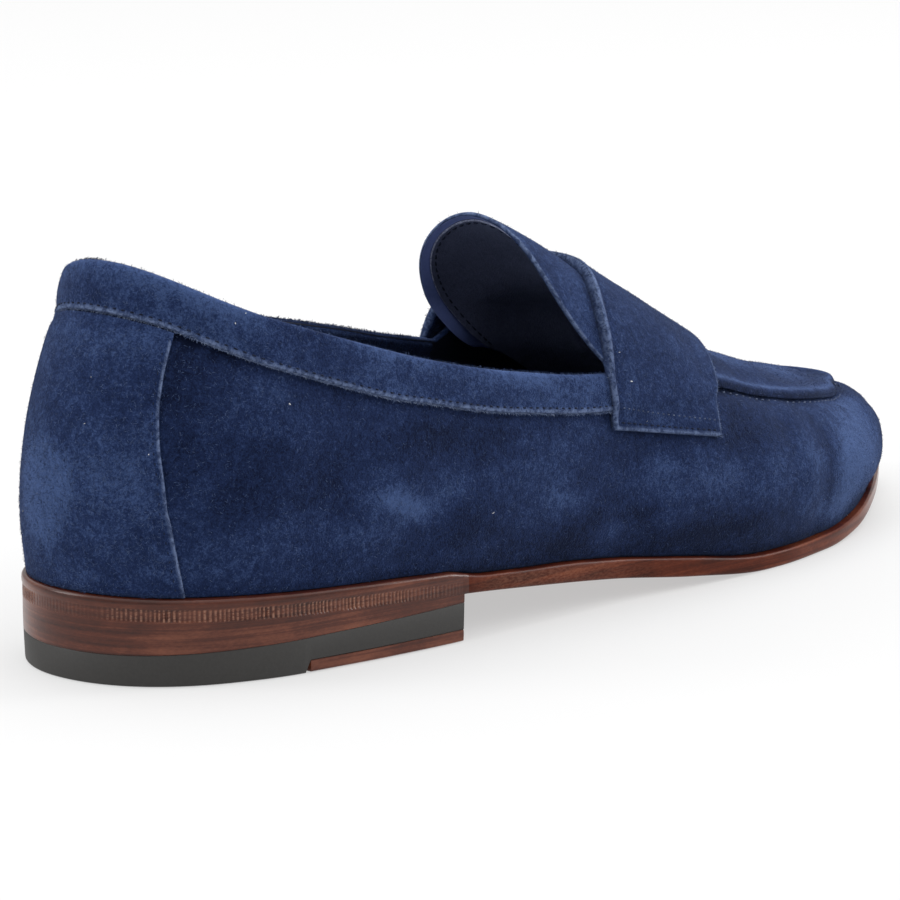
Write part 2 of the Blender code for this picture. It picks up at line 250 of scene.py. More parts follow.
def sampled(s, along, line):
    """Points of a line at distances along it."""
    return np.stack([np.interp(s, along, line[:, k]) for k in range(3)], 1)


# The last

# Small steps along and up the last's face, to find its directions
STEP_ALONG = 4e-4
STEP_UP = 2e-3
STEP_UP_EDGE = 1e-3


def smooth(rows, name, y):
    """Monotone cubic through one column of a table."""
    at = rows["y"]
    values = rows[name]
    y = np.clip(np.asarray(y, float), at[0], at[-1])
    step = np.diff(at)
    rise = np.diff(values) / step
    slope = np.zeros(len(at))
    slope[0] = rise[0]
    slope[-1] = rise[-1]
    for i in range(1, len(at) - 1):
        if rise[i - 1] * rise[i] > 0:
            before = 2 * step[i] + step[i - 1]
            after = step[i] + 2 * step[i - 1]
            slope[i] = (before + after) / (before / rise[i - 1] + after / rise[i])
    i = np.clip(np.searchsorted(at, y, side="right") - 1, 0, len(step) - 1)
    s = (y - at[i]) / step[i]
    ends = (1 + 2 * s) * (1 - s) ** 2 * values[i] + s * s * (3 - 2 * s) * values[i + 1]
    bends = s * (1 - s) ** 2 * slope[i] + s * s * (s - 1) * slope[i + 1]
    return ends + bends * step[i]


def end_cap(distance, reach, power):
    """Share of the full width left at a distance from a rounded end."""
    s = np.clip(1 - distance / reach, 0, 1)
    return (1 - s ** power) ** (1 / power)


def middle(y):
    """Spine of the shoe in plan."""
    return (smooth(PLAN, "lateral", y) + smooth(PLAN, "medial", y)) / 2


def outline(t, inset=0.0):
    """Plan outline. t from 0 to 1 runs heel to toe on the outer side, 1 to 2 comes back."""
    t = np.asarray(t, float) % 2
    y = inset + (LENGTH - 2 * inset) * (1 - np.cos(np.pi * t)) / 2
    side = np.where(t <= 1, 1.0, -1.0)
    half = (smooth(PLAN, "lateral", y) - smooth(PLAN, "medial", y)) / 2 - inset
    half = half * end_cap(y - inset, HEEL_ROUND - inset, HEEL_POWER)
    half = half * end_cap(LENGTH - inset - y, TOE_ROUND - inset, TOE_POWER)
    return np.stack([middle(y) + side * half, y], -1)


def place(y, side=1, inset=FEATHER_MARGIN):
    """Outline parameter of a station on the outer (1) or inner (-1) side."""
    share = (np.asarray(y, float) - inset) / (LENGTH - 2 * inset)
    t = np.arccos(np.clip(1 - 2 * share, -1, 1)) / np.pi
    return np.where(np.asarray(side) > 0, t, 2 - t)


def section(t):
    """Sizes of the last's cross section that starts at this place of the feather line."""
    foot = outline(t, FEATHER_MARGIN)
    y = foot[..., 1]
    spine_y = np.clip(y, HEEL_SPINE, TOE_SPINE)
    spine = np.stack([middle(spine_y), spine_y], -1)
    reach = np.linalg.norm(foot - spine, axis=-1)
    feather = smooth(FEATHER, "height", y)
    return {
        "y": y,
        "spine": spine,
        "out": (foot - spine) / reach[..., None],
        "reach": reach,
        "full": reach + smooth(BODY, "bulge", y),
        "feather": feather,
        "belly": feather + smooth(BODY, "belly", y),
        "power": smooth(BODY, "power", y),
        "flare": smooth(BODY, "flare", y),
        "crown": smooth(CROWN, "height", spine_y),
    }


def form(t, v):
    """Outer face of the last: v is 0 at the feather line, 1 at the belly and 2 over the spine."""
    t, v = np.broadcast_arrays(np.asarray(t, float), np.asarray(v, float))
    part = section(t)
    low = np.clip(v, 0, 1)
    angle = np.clip(v - 1, 0, 1) * np.pi / 2
    swell = part["reach"] + (part["full"] - part["reach"]) * np.sin(low * np.pi / 2)
    arch = part["full"] * np.cos(angle) ** (2 / part["power"])
    reach = np.where(v < 1, swell, arch)
    rise = part["feather"] + (part["belly"] - part["feather"]) * low
    dome = part["belly"] + (part["crown"] - part["belly"]) * np.sin(angle)
    height = np.where(v < 1, rise, dome)
    reach = reach + part["flare"] * np.clip((height - FLARE_START) / FLARE_RISE, 0, 1) ** 2
    plan = part["spine"] + part["out"] * reach[..., None]
    height = height - TOE_FALL * np.clip(plan[..., 1] - TOE_SPINE, 0, None) * np.sin(angle)
    return np.concatenate([plan, height[..., None]], -1)


def face_normal(t, v):
    """Outward normal of the last's face."""
    t, v = np.broadcast_arrays(np.asarray(t, float), np.asarray(v, float))
    along = form(t + STEP_ALONG, v) - form(t - STEP_ALONG, v)
    up = form(t, v + STEP_UP) - form(t, v - STEP_UP)
    return unit(np.cross(along, up))


def way_up(t, v):
    """Upward direction along the last's face."""
    return unit(form(t, v + STEP_UP_EDGE) - form(t, v - STEP_UP_EDGE))


def v_at_height(t, height):
    part = section(t)
    low = (height - part["feather"]) / (part["belly"] - part["feather"])
    high = np.clip((height - part["belly"]) / (part["crown"] - part["belly"]), 0, 1)
    return np.where(low < 1, np.clip(low, 0, 1), 1 + np.arcsin(high) / (np.pi / 2))


def v_at_reach(t, reach):
    part = section(t)
    share = np.clip(reach / part["full"], 0, 1)
    return 1 + np.arccos(share ** (part["power"] / 2)) / (np.pi / 2)


def topline_height(t):
    y = section(t)["y"]
    inner = (np.asarray(t, float) % 2) > 1
    raised = np.where(inner, smooth(TOPLINE, "medial_raise", y), 0.0)
    return smooth(TOPLINE, "height", y) + raised


def v_top(t):
    """Upper edge of the upper: topline behind, rounded throat, then the closed vamp."""
    y = section(t)["y"]
    side = v_at_height(t, topline_height(t))
    start = place(THROAT_START)
    opening = form(start, v_at_height(start, topline_height(start)))[0] - middle(THROAT_START)
    along = np.clip((y - THROAT_START) / (THROAT_END - THROAT_START), 0, 1)
    throat = np.maximum(side, v_at_reach(t, opening * np.sqrt(1 - along ** 2)))
    return np.where(y < THROAT_START, side, np.where(along >= 1, 2.0, throat))


def v_collar(t):
    """Lower seam of the collar band."""
    return v_at_height(t, topline_height(t) - smooth(TOPLINE, "band", section(t)["y"]))


def v_ridge(t):
    """Raised seam round the apron."""
    part = section(t)
    return v_at_reach(t, part["full"] * smooth(SEAM, "share", part["y"]))


sole_low, sole_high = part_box("outsole")
plan_line = outline(np.linspace(0, 2, 2001))
SHIFT = np.array([
    (sole_low.x + sole_high.x) / 2 / MM - (plan_line[:, 0].min() + plan_line[:, 0].max()) / 2,
    (sole_low.y + sole_high.y) / 2 / MM - LENGTH / 2,
    0.0,
])


# Mesh helpers


def row_frame(points):
    """Plan frame in millimetres to the part's frame in metres."""
    return (np.asarray(points, float) + SHIFT) * MM


def edge_shares(count, width, fine=(0.12, 0.3, 0.55, 0.9, 1.4, 2.2)):
    """Even shares from 0 to 1 with extra ones close to both ends, where edges are rounded."""
    close = np.array(fine) / width
    even = np.linspace(0, 1, count)
    even = even[(even > close[-1] * 1.3) & (even < 1 - close[-1] * 1.3)]
    return np.unique(np.concatenate([[0.0, 1.0], close, 1 - close, even]))


def equal_points(points, digits):
    """First of each set of equal points, and which set each point is in."""
    _, first, index = np.unique(
        np.round(points, digits), axis=0, return_index=True, return_inverse=True,
    )
    return first, index.reshape(-1)


def joined(grid, ring=False):
    """Points, index and faces of a grid surface whose equal points are one."""
    rows, columns = grid.shape[:2]
    flat = grid.reshape(-1, 3)
    first, index = equal_points(flat, 3)
    index = index.reshape(rows, columns)
    faces = []
    for i in range(rows if ring else rows - 1):
        k = (i + 1) % rows
        for j in range(columns - 1):
            corners = (index[i, j], index[k, j], index[k, j + 1], index[i, j + 1])
            face = [int(c) for n, c in enumerate(corners) if c != corners[n - 1]]
            if len(face) > 2:
                faces.append(face)
    return flat[first], first, faces


def point_normals(points, faces):
    """Mean face normal at each point."""
    total = np.zeros_like(points)
    for size in (3, 4):
        group = np.array([f for f in faces if len(f) == size])
        if not len(group):
            continue
        corner = points[group]
        normal = np.cross(corner[:, 2] - corner[:, 0], corner[:, -1] - corner[:, 1])
        for k in range(size):
            np.add.at(total, group[:, k], normal)
    return total / np.maximum(np.linalg.norm(total, axis=1, keepdims=True), 1e-9)


def open_edges(faces):
    """Edges that belong to one face only, in that face's direction."""
    seen = {}
    for face in faces:
        for a, b in zip(face, face[1:] + face[:1]):
            if (b, a) in seen:
                del seen[(b, a)]
            else:
                seen[(a, b)] = True
    return list(seen)


def put(name, points, faces, materials, node, slot, groups=None, crisp=None, **attributes):
    """A piece from points and faces that rides on the part and stands for a solid."""
    mesh = bpy.data.meshes.new(name)
    mesh.from_pydata(row_frame(points).tolist(), [], [list(f) for f in faces])
    for material in materials:
        mesh.materials.append(material)
    if groups is not None:
        mesh.polygons.foreach_set("material_index", np.array(groups, np.int32))
    mesh.shade_smooth()
    if crisp:
        mesh.set_sharp_from_angle(angle=math.radians(crisp))
    for label, values in attributes.items():
        layer = mesh.attributes.new(label, "FLOAT", "POINT")
        layer.data.foreach_set("value", np.asarray(values, np.float32))
    mesh.update()
    piece = bpy.data.objects.new(name, mesh)
    bpy.context.scene.collection.objects.link(piece)
    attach(piece, "root")
    if node:
        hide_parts(node)
    return piece


# Outer faces of the suede pieces by name, for the fibres that stand on them
napped = {}
# Angle in degrees over which an edge of the sole and heel is sharp
CRISP_ANGLE = 40


def sheet_piece(name, grid, over, under, materials, node, slot, ring=False, edge=None, nap=None):
    """A sheet between two distances from a surface, closed round its rim."""
    points, first, faces = joined(grid, ring)
    normals = point_normals(points, faces)

    def pick(values):
        return np.broadcast_to(values, grid.shape[:2]).reshape(-1)[first]

    count = len(points)
    outer = points + normals * pick(over)[:, None]
    inner = points + normals * pick(under)[:, None]
    rim = [(a, a + count, b + count, b) for a, b in open_edges(faces)]
    back = [[c + count for c in reversed(f)] for f in faces]
    groups = [0] * len(faces) + [len(materials) - 1] * len(back) + [0] * len(rim)
    napped[name] = (outer, faces)
    pale = pick(0.0 if edge is None else edge)
    nap_and_light_values = pick(0.0 if nap is None else nap)
    return put(
        name, np.concatenate([outer, inner]), faces + back + rim, materials, node, slot, groups,
        edge=np.concatenate([pale, 0 * pale]), nap=np.concatenate([nap_and_light_values, nap_and_light_values]),
    )


def slab_piece(name, rings, materials, node, slot, front=None, **attributes):
    """Solid between stacked rings of the outer side's points and the inner side's."""
    count = len(rings[0][0])
    points = np.concatenate([np.concatenate([outer, inner[::-1]]) for outer, inner in rings])
    size = 2 * count
    faces = []
    for k in range(len(rings) - 1):
        low = k * size
        for i in range(size):
            j = (i + 1) % size
            faces.append((low + i, low + j, low + size + j, low + size + i))
    for start, up in ((0, False), ((len(rings) - 1) * size, True)):
        for i in range(count - 1):
            face = (start + i, start + i + 1, start + size - 2 - i, start + size - 1 - i)
            faces.append(face if up else face[::-1])
    kept, first, merged = weld(points, faces)
    values = {label: np.asarray(v)[first] for label, v in attributes.items()}
    groups = None
    if front is not None:
        groups = [int(kept[face, 1].mean() > front) for face in merged]
    return put(name, kept, merged, materials, node, slot, groups, CRISP_ANGLE, **values)


def weld(points, faces):
    """Joins equal points and drops faces that have no area left."""
    first, index = equal_points(points, 4)
    merged = []
    for face in faces:
        corners = [int(index[c]) for c in face]
        corners = [c for n, c in enumerate(corners) if c != corners[n - 1]]
        if len(set(corners)) > 2 and len(set(corners)) == len(corners):
            merged.append(corners)
    return points[first], first, merged


# Distance from an edge where no edge is free
FAR = 1e3


def edge_distance(grid, sides):
    """Distance from the free edges: a first row, b last row, c first column, d last column."""
    rows = row_runs(np.swapaxes(grid, 0, 1)).T
    columns = row_runs(grid)
    found = np.full(grid.shape[:2], FAR)
    choices = (rows, rows[-1] - rows, columns, columns[:, -1:] - columns)
    for letter, values in zip("abcd", choices):
        if letter in sides:
            found = np.minimum(found, values)
    return found


def rounded(distance, radius):
    """Drop of a rounded edge at a distance from it."""
    s = np.clip(radius - distance, 0, radius)
    return radius - np.sqrt(radius * radius - s * s)


# Corners round a thread and bends along it, its sunk ends, arch and taper
THREAD_CORNERS = 5
THREAD_BENDS = 6
THREAD_SINK = 0.35
THREAD_ARCH = 1.3
THREAD_TAPER = 0.45
THREAD_ROUND = 0.6


def thread_row(name, path, normals, material, slot, length, gap, radius):
    """Stitches along a path: short bent threads that dip into the face at both ends."""
    along = run_of(path)
    points = []
    faces = []
    corners = THREAD_CORNERS
    bends = THREAD_BENDS
    turn = np.linspace(0, 2 * np.pi, corners, endpoint=False)[:, None]
    arch = np.sin(np.linspace(0, np.pi, bends)) ** THREAD_ROUND
    girth = radius * (1 - THREAD_TAPER + THREAD_TAPER * arch)
    start = gap / 2
    while start + length < along[-1]:
        s = np.linspace(start, start + length, bends)
        line = sampled(s, along, path)
        face = unit(sampled(s, along, normals))
        side = np.cross(face, unit(np.gradient(line, axis=0)))
        line = line + face * (radius * (THREAD_ARCH * arch - THREAD_SINK))[:, None]
        base = len(points) * corners
        for k in range(bends):
            around = np.cos(turn) * side[k] + np.sin(turn) * face[k]
            points.append(line[k] + girth[k] * around)
        for k in range(bends - 1):
            for c in range(corners):
                d = (c + 1) % corners
                low = base + k * corners
                faces.append((low + c, low + d, low + corners + d, low + corners + c))
        faces.append(tuple(base + c for c in reversed(range(corners))))
        faces.append(tuple(base + (bends - 1) * corners + c for c in range(corners)))
        start += length + gap
    return put(name, np.concatenate(points), faces, [material], None, slot)


# Finishes


def node_group(name, inputs, outputs):
    """An empty shader node group with its sockets."""
    group = bpy.data.node_groups.new(name, "ShaderNodeTree")
    for label, kind, value in inputs:
        socket = group.interface.new_socket(label, in_out="INPUT", socket_type=kind)
        socket.default_value = value
    for label, kind in outputs:
        group.interface.new_socket(label, in_out="OUTPUT", socket_type=kind)
    return group, group.nodes.new("NodeGroupInput"), group.nodes.new("NodeGroupOutput")


def settle(node, **values):
    """Sets sockets of a node by name, with _ for a space."""
    for label, value in values.items():
        node.inputs[label.replace("_", " ")].default_value = value


def noise(tree, vector, scale, detail=2.0, rough=0.5, distortion=0.0):
    node = tree.nodes.new("ShaderNodeTexNoise")
    settle(node, Scale=scale, Detail=detail, Roughness=rough, Distortion=distortion)
    tree.links.new(vector, node.inputs["Vector"])
    return node.outputs["Fac"]


def maths(tree, kind, a, b=None, c=None, clamp=False):
    node = tree.nodes.new("ShaderNodeMath")
    node.operation = kind
    node.use_clamp = clamp
    for socket, value in zip(node.inputs, (a, b, c)):
        if value is None:
            continue
        if isinstance(value, (int, float)):
            socket.default_value = value
        else:
            tree.links.new(value, socket)
    return node.outputs[0]


def blend(tree, share, a, b):
    node = tree.nodes.new("ShaderNodeMix")
    node.data_type = "RGBA"
    sockets = (node.inputs[0], node.inputs[6], node.inputs[7])
    for socket, value in zip(sockets, (share, a, b)):
        if isinstance(value, (int, float, tuple)):
            socket.default_value = value
        else:
            tree.links.new(value, socket)
    return node.outputs[2]


def spread(tree, value, low, high):
    """Maps a range of a value to 0 to 1."""
    node = tree.nodes.new("ShaderNodeMapRange")
    node.interpolation_type = "SMOOTHSTEP"
    settle(node, From_Min=low, From_Max=high)
    tree.links.new(value, node.inputs["Value"])
    return node.outputs["Result"]


def stretched(tree, vector, scale):
    node = tree.nodes.new("ShaderNodeMapping")
    settle(node, Scale=scale)
    tree.links.new(vector, node.inputs["Vector"])
    return node.outputs["Vector"]


# Noise of the suede's nap from broad to fine: stretch, scale, detail, roughness, distortion
NAP_NOISE = {
    "patches": ((1.0, 1.0, 1.0), 19.0, 2.0, 0.5, 0.5),
    "strokes": ((1.0, 0.8, 1.2), 58.0, 4.0, 0.6, 0.8),
    "blots": ((1.0, 1.0, 1.0), 240.0, 3.0, 0.62, 0.8),
    "tufts": ((1.0, 1.0, 1.0), 620.0, 3.0, 0.7, 0.9),
    "fibres": ((1.0, 1.0, 1.0), 2100.0, 2.0, 0.65, 1.0),
    "hairs": ((1.0, 0.8, 0.7), 3100.0, 1.0, 0.5, 0.4),
}
# Tone of the nap: noise, the range of it that is spread from 0 to 1, weight
NAP_TONE = (
    ("patches", 0.3, 0.7, 0.12),
    ("strokes", 0.28, 0.72, 0.2),
    ("blots", 0.3, 0.7, 0.15),
    ("tufts", 0.28, 0.72, 0.28),
    ("fibres", 0.3, 0.72, 0.37),
)
NAP_START = -0.12
NAP_SHARE = 0.48
STRAY_HAIRS = 0.4
EDGE_LEAST = 0.2
TUFT_HEIGHT = 0.9
HAIR_HEIGHT = 0.5

# The same for the stacked leather of the sole
SOLE_NOISE = {
    "layers": ((14.0, 14.0, 900.0), 1.0, 3.0, 0.6, 0.3),
    "cloud": ((1.0, 1.0, 2.2), 60.0, 3.0, 0.55, 0.3),
    "grain": ((1.0, 1.0, 3.0), 900.0, 2.0, 0.6, 0.0),
}
SOLE_TONE = (("layers", 0.3, 0.7, 0.5), ("cloud", 0.3, 0.7, 0.35), ("grain", 0.3, 0.7, 0.15))
RUBBED_LEATHER = (0.26, 0.13, 0.085, 1.0)
SOLE_ROUGHNESS = 0.22
SOLE_CLOUDINESS = 0.2


def noises(tree, rows):
    """The noise values of a table by name."""
    where = tree.nodes.new("ShaderNodeTexCoord").outputs["Object"]
    return {
        name: noise(tree, stretched(tree, where, stretch), *row)
        for name, (stretch, *row) in rows.items()
    }


def weighed(tree, values, rows, tone):
    """Adds the spread noises to a tone by their weights."""
    for name, low, high, weight in rows:
        share = spread(tree, values[name], low, high)
        tone = maths(tree, "MULTIPLY_ADD", share, weight, tone)
    return tone


def three_colours(tree, tone, given):
    """Dark, middle and light colour along a tone from 0 to 1."""
    low = maths(tree, "MULTIPLY", tone, 2.0, clamp=True)
    high = maths(tree, "MULTIPLY_ADD", tone, 2.0, -1.0, clamp=True)
    colour = blend(tree, low, given.outputs["Dark"], given.outputs["Middle"])
    return blend(tree, high, colour, given.outputs["Light"])


def make_nap_group():
    """Brushed suede: lighter and darker strokes of the nap, the painted light and shade that its
    nap input carries, fine fibres and pale cut edges.
    """
    group, given, made = node_group(
        "brushed_nap",
        [
            ("Dark", "NodeSocketColor", (0.01, 0.015, 0.04, 1)),
            ("Middle", "NodeSocketColor", (0.02, 0.03, 0.07, 1)),
            ("Light", "NodeSocketColor", (0.05, 0.07, 0.14, 1)),
            ("Cut Edge", "NodeSocketColor", (0.12, 0.15, 0.24, 1)),
            ("Nap And Light", "NodeSocketFloat", 0.0),
            ("Edge", "NodeSocketFloat", 0.0),
        ],
        [("Colour", "NodeSocketColor"), ("Height", "NodeSocketFloat")],
    )
    values = noises(group, NAP_NOISE)
    tone = maths(group, "MULTIPLY_ADD", given.outputs["Nap And Light"], NAP_SHARE, NAP_START)
    colour = three_colours(group, weighed(group, values, NAP_TONE, tone), given)
    stray = maths(group, "MULTIPLY", spread(group, values["hairs"], 0.66, 0.8), STRAY_HAIRS)
    colour = blend(group, stray, colour, given.outputs["Light"])
    tufted = spread(group, values["tufts"], 0.36, 0.64)
    edge_marks = maths(group, "MULTIPLY_ADD", tufted, 1 - EDGE_LEAST, EDGE_LEAST)
    cut = maths(group, "MULTIPLY", given.outputs["Edge"], edge_marks, clamp=True)
    colour = blend(group, cut, colour, given.outputs["Cut Edge"])
    height = maths(group, "MULTIPLY_ADD", values["tufts"], TUFT_HEIGHT, values["fibres"])
    height = maths(group, "MULTIPLY_ADD", values["hairs"], HAIR_HEIGHT, height)
    group.links.new(colour, made.inputs["Colour"])
    group.links.new(height, made.inputs["Height"])
    return group


def make_sole_group():
    """Stacked sole leather: level streaks of its layers, cloudy stain and fine scratches."""
    group, given, made = node_group(
        "stacked_leather",
        [
            ("Dark", "NodeSocketColor", (0.03, 0.01, 0.006, 1)),
            ("Middle", "NodeSocketColor", (0.09, 0.03, 0.02, 1)),
            ("Light", "NodeSocketColor", (0.16, 0.07, 0.05, 1)),
            ("Wear And Shade", "NodeSocketFloat", 0.0),
        ],
        [
            ("Colour", "NodeSocketColor"),
            ("Roughness", "NodeSocketFloat"),
            ("Height", "NodeSocketFloat"),
        ],
    )
    values = noises(group, SOLE_NOISE)
    colour = three_colours(group, weighed(group, values, SOLE_TONE, 0.0), given)
    grain = spread(group, values["grain"], 0.3, 0.7)
    rubbed = maths(group, "MULTIPLY", given.outputs["Wear And Shade"], grain, clamp=True)
    colour = blend(group, rubbed, colour, RUBBED_LEATHER)
    # Below 0 the input paints the edge dark: edge ink and painted shade
    darkened = maths(group, "MULTIPLY", given.outputs["Wear And Shade"], -1.0, clamp=True)
    colour = blend(group, darkened, colour, given.outputs["Dark"])
    rough = maths(group, "MULTIPLY_ADD", values["cloud"], SOLE_CLOUDINESS, SOLE_ROUGHNESS)
    fine = maths(group, "MULTIPLY", values["grain"], 0.4)
    height = maths(group, "MULTIPLY_ADD", values["layers"], 0.6, fine)
    group.links.new(colour, made.inputs["Colour"])
    group.links.new(rough, made.inputs["Roughness"])
    group.links.new(height, made.inputs["Height"])
    return group


def new_material(name):
    material = bpy.data.materials.new(name)
    material.use_nodes = True
    tree = material.node_tree
    return material, tree, tree.nodes["Principled BSDF"]


def use_group(tree, group, **values):
    node = tree.nodes.new("ShaderNodeGroup")
    node.node_tree = group
    settle(node, **values)
    return node


def bump(tree, shader, height, strength, distance):
    node = tree.nodes.new("ShaderNodeBump")
    settle(node, Strength=strength, Distance=distance)
    tree.links.new(height, node.inputs["Height"])
    tree.links.new(node.outputs["Normal"], shader.inputs["Normal"])


def point_value(tree, label):
    node = tree.nodes.new("ShaderNodeAttribute")
    node.attribute_name = label
    return node.outputs["Fac"]


def suede(name, group, dark, mid, light, edge):
    material, tree, shader = new_material(name)
    nap = use_group(tree, group, Dark=dark, Middle=mid, Light=light, Cut_Edge=edge)
    tree.links.new(point_value(tree, "nap"), nap.inputs["Nap And Light"])
    tree.links.new(point_value(tree, "edge"), nap.inputs["Edge"])
    tree.links.new(nap.outputs["Colour"], shader.inputs["Base Color"])
    bump(tree, shader, nap.outputs["Height"], 0.55, 0.0005)
    settle(shader, Roughness=0.95, Specular_IOR_Level=0.06)
    settle(shader, Sheen_Weight=0.1, Sheen_Roughness=0.4, Sheen_Tint=(0.42, 0.55, 0.9, 1.0))
    return material


def sole_leather(name, group, dark, mid, light, gloss, coat):
    material, tree, shader = new_material(name)
    stack = use_group(tree, group, Dark=dark, Middle=mid, Light=light)
    tree.links.new(point_value(tree, "wear"), stack.inputs["Wear And Shade"])
    tree.links.new(stack.outputs["Colour"], shader.inputs["Base Color"])
    tree.links.new(stack.outputs["Roughness"], shader.inputs["Roughness"])
    bump(tree, shader, stack.outputs["Height"], 0.18, 0.0004)
    polish = maths(tree, "ADD", point_value(tree, "polish"), coat)
    tree.links.new(polish, shader.inputs["Coat Weight"])
    settle(shader, Specular_IOR_Level=gloss, Coat_Roughness=0.18)
    return material


def plain_skin(name, dark, light, scale, rough, strength):
    """Smooth lining leather or rubber: cloudy colour, fine grain."""
    material, tree, shader = new_material(name)
    where = tree.nodes.new("ShaderNodeTexCoord").outputs["Object"]
    cloud = noise(tree, where, 70.0, 3.0, 0.55)
    grain = noise(tree, where, scale, 3.0, 0.6)
    clouded = maths(tree, "MULTIPLY", cloud, 0.6)
    share = maths(tree, "MULTIPLY_ADD", spread(tree, grain, 0.3, 0.7), 0.4, clouded)
    tree.links.new(blend(tree, share, dark, light), shader.inputs["Base Color"])
    uneven = maths(tree, "MULTIPLY_ADD", cloud, 0.25, rough - 0.12)
    tree.links.new(uneven, shader.inputs["Roughness"])
    bump(tree, shader, grain, strength, 0.0003)
    return material


def thread(name, dark, light):
    material, tree, shader = new_material(name)
    where = tree.nodes.new("ShaderNodeTexCoord").outputs["Object"]
    twist = spread(tree, noise(tree, where, 2200.0, 2.0, 0.5), 0.3, 0.7)
    tree.links.new(blend(tree, twist, dark, light), shader.inputs["Base Color"])
    settle(shader, Roughness=0.8, Specular_IOR_Level=0.1)
    return material


def fibre_finish(name, dark, light):
    """Loose fibres, each in its own shade."""
    material, tree, shader = new_material(name)
    tone = maths(tree, "POWER", point_value(tree, "nap"), 2.0)
    tree.links.new(blend(tree, tone, dark, light), shader.inputs["Base Color"])
    settle(shader, Roughness=0.9, Specular_IOR_Level=0.1)
    return material


nap_group = make_nap_group()
sole_group = make_sole_group()
navy_suede = suede(
    "navy_suede", nap_group, (0.0030, 0.0060, 0.021, 1), (0.0115, 0.0220, 0.068, 1),
    (0.046, 0.078, 0.185, 1), (0.13, 0.175, 0.30, 1),
)
navy_lining = plain_skin(
    "navy_lining", (0.007, 0.009, 0.02, 1), (0.014, 0.02, 0.045, 1), 900.0, 0.5, 0.15,
)
tongue_facing = suede(
    "tongue_lining_leather", nap_group, (0.054, 0.064, 0.115, 1), (0.076, 0.09, 0.158, 1),
    (0.1, 0.118, 0.205, 1), (0.36, 0.4, 0.56, 1),
)
brown_sole = sole_leather(
    "brown_sole_leather", sole_group, (0.022, 0.0034, 0.0012, 1), (0.072, 0.0152, 0.0064, 1),
    (0.17, 0.052, 0.026, 1), 0.25, 0.24,
)
brown_edge = sole_leather(
    "brown_sole_edge", sole_group, (0.024, 0.0040, 0.0015, 1), (0.085, 0.0160, 0.0060, 1),
    (0.18, 0.050, 0.022, 1), 0.1, 0.03,
)
rim_leather = plain_skin(
    "navy_rim_leather", (0.115, 0.165, 0.42, 1), (0.165, 0.225, 0.54, 1), 900.0, 0.6, 0.2,
)
dark_rubber = plain_skin(
    "dark_rubber", (0.0155, 0.0145, 0.0132, 1), (0.027, 0.0252, 0.0235, 1), 1400.0, 0.6, 0.12,
)
navy_thread = thread("navy_thread", (0.004, 0.006, 0.015, 1), (0.018, 0.026, 0.055, 1))
pale_thread = thread("pale_thread", (0.05, 0.065, 0.11, 1), (0.13, 0.16, 0.24, 1))


# Upper

# Strokes of the brush, alike on both sides, some of them painted light and shade: lighter
# where light falls on the toe, darker in shade by the strap and along the foot: y and height
# of the middle, length, depth, slant in degrees, strength
NAP_LIGHT_STROKES = [
    (3, 42, 9, 9, 90, 0.25),
    (10, 72, 9, 4, 0, 0.25),
    (6, 27, 6, 5, 0, 0.15),
    (15, 60, 22, 4, 85, -0.05),
    (17, 50, 9, 4, 80, 0.3),
    (26, 61, 6, 5, 0, 0.3),
    (28, 46, 11, 5, 60, -0.4),
    (25, 60, 6, 5, 0, 0.25),
    (46, 57, 7, 5, 0, -0.25),
    (44, 40, 6, 4, 0, -0.22),
    (43, 44, 16, 9, 0, -0.22),
    (33, 53, 8, 6, -5, 0.25),
    (50, 38, 8, 3, -20, 0.08),
    (39, 34, 5, 4, 0, -0.15),
    (58, 35, 7, 3.2, -22, 0.65),
    (65, 32, 7, 2.6, -25, 0.8),
    (77, 34.5, 9, 2.6, 12, 0.45),
    (51, 28, 8, 2.5, 0, 0.3),
    (71, 46, 22, 6, -5, -0.5),
    (82, 25, 12, 6, 0, -0.55),
    (97, 36, 14, 3.5, 5, 0.12),
    (90, 42, 7, 5, 0, -0.42),
    (112, 41, 5, 5, 0, -0.3),
    (111, 38, 7, 5, 40, 0.45),
    (110, 26.5, 8, 2.6, -12, 0.5),
    (111, 18, 12, 3.5, 0, -0.7),
    (114, 14.5, 10, 2.5, 0, -0.45),
    (146, 18, 5, 5, 0, 0.32),
    (166, 21, 5, 4, 0, 0.3),
    (128, 16.5, 5, 3.5, 0, 0.4),
    (131, 28, 5, 3, 0, 0.25),
    (125, 23, 7, 3, 30, -0.35),
    (143, 28, 5, 4, 0, 0.75),
    (160, 25, 12, 4.5, -5, 0.5),
    (137, 19.5, 7, 3.5, 0, -0.45),
    (153, 12.5, 12, 3, 0, -0.7),
    (170, 11.5, 12, 3, 0, -0.45),
    (156, 35, 20, 2.5, -8, -0.4),
    (174, 33, 8, 6, 0, -0.25),
    (172, 38.5, 5, 3.5, 0, -0.4),
    (182, 24, 4.5, 6, 70, 0.4),
    (186, 16, 5, 6, 80, 0.35),
    (187, 16, 5, 6, 0, -0.35),
    (192, 31, 12, 3, 0, -0.25),
    (199, 23, 3.5, 6, 0, 0.45),
    (206.5, 16, 12, 1.8, 84, -0.55),
    (197, 20, 8, 9, 0, 0.28),
    (218, 18, 15, 7, 80, 1.15),
    (231, 19, 12, 11, 0, 1.2),
    (217, 9, 6, 4, 0, 0.5),
    (205, 9, 8, 4.5, 0, 0.75),
    (219, 28.5, 8, 3, 0, -0.45),
    (243, 26, 7, 4, 0, 0.4),
]
# Painted shade along the foot, where the upper meets the sole, less so behind a station
FOOT_SHADE = 0.55
FOOT_REACH = 3.0
FOOT_START = 10.0
FOOT_RUN = 60.0
FOOT_LEAST = 0.3
# Middle, spread and strength of the lighter patch on the heel's back
BACK_LIGHT = (-6.5, 2.5, 39.5)
BACK_SPREAD = (9.8, 13.0, 11.5)
BACK_LIGHTER = 0.85
BACK_CRISPNESS = 4
NAP_RANGE = (-1, 1.25)

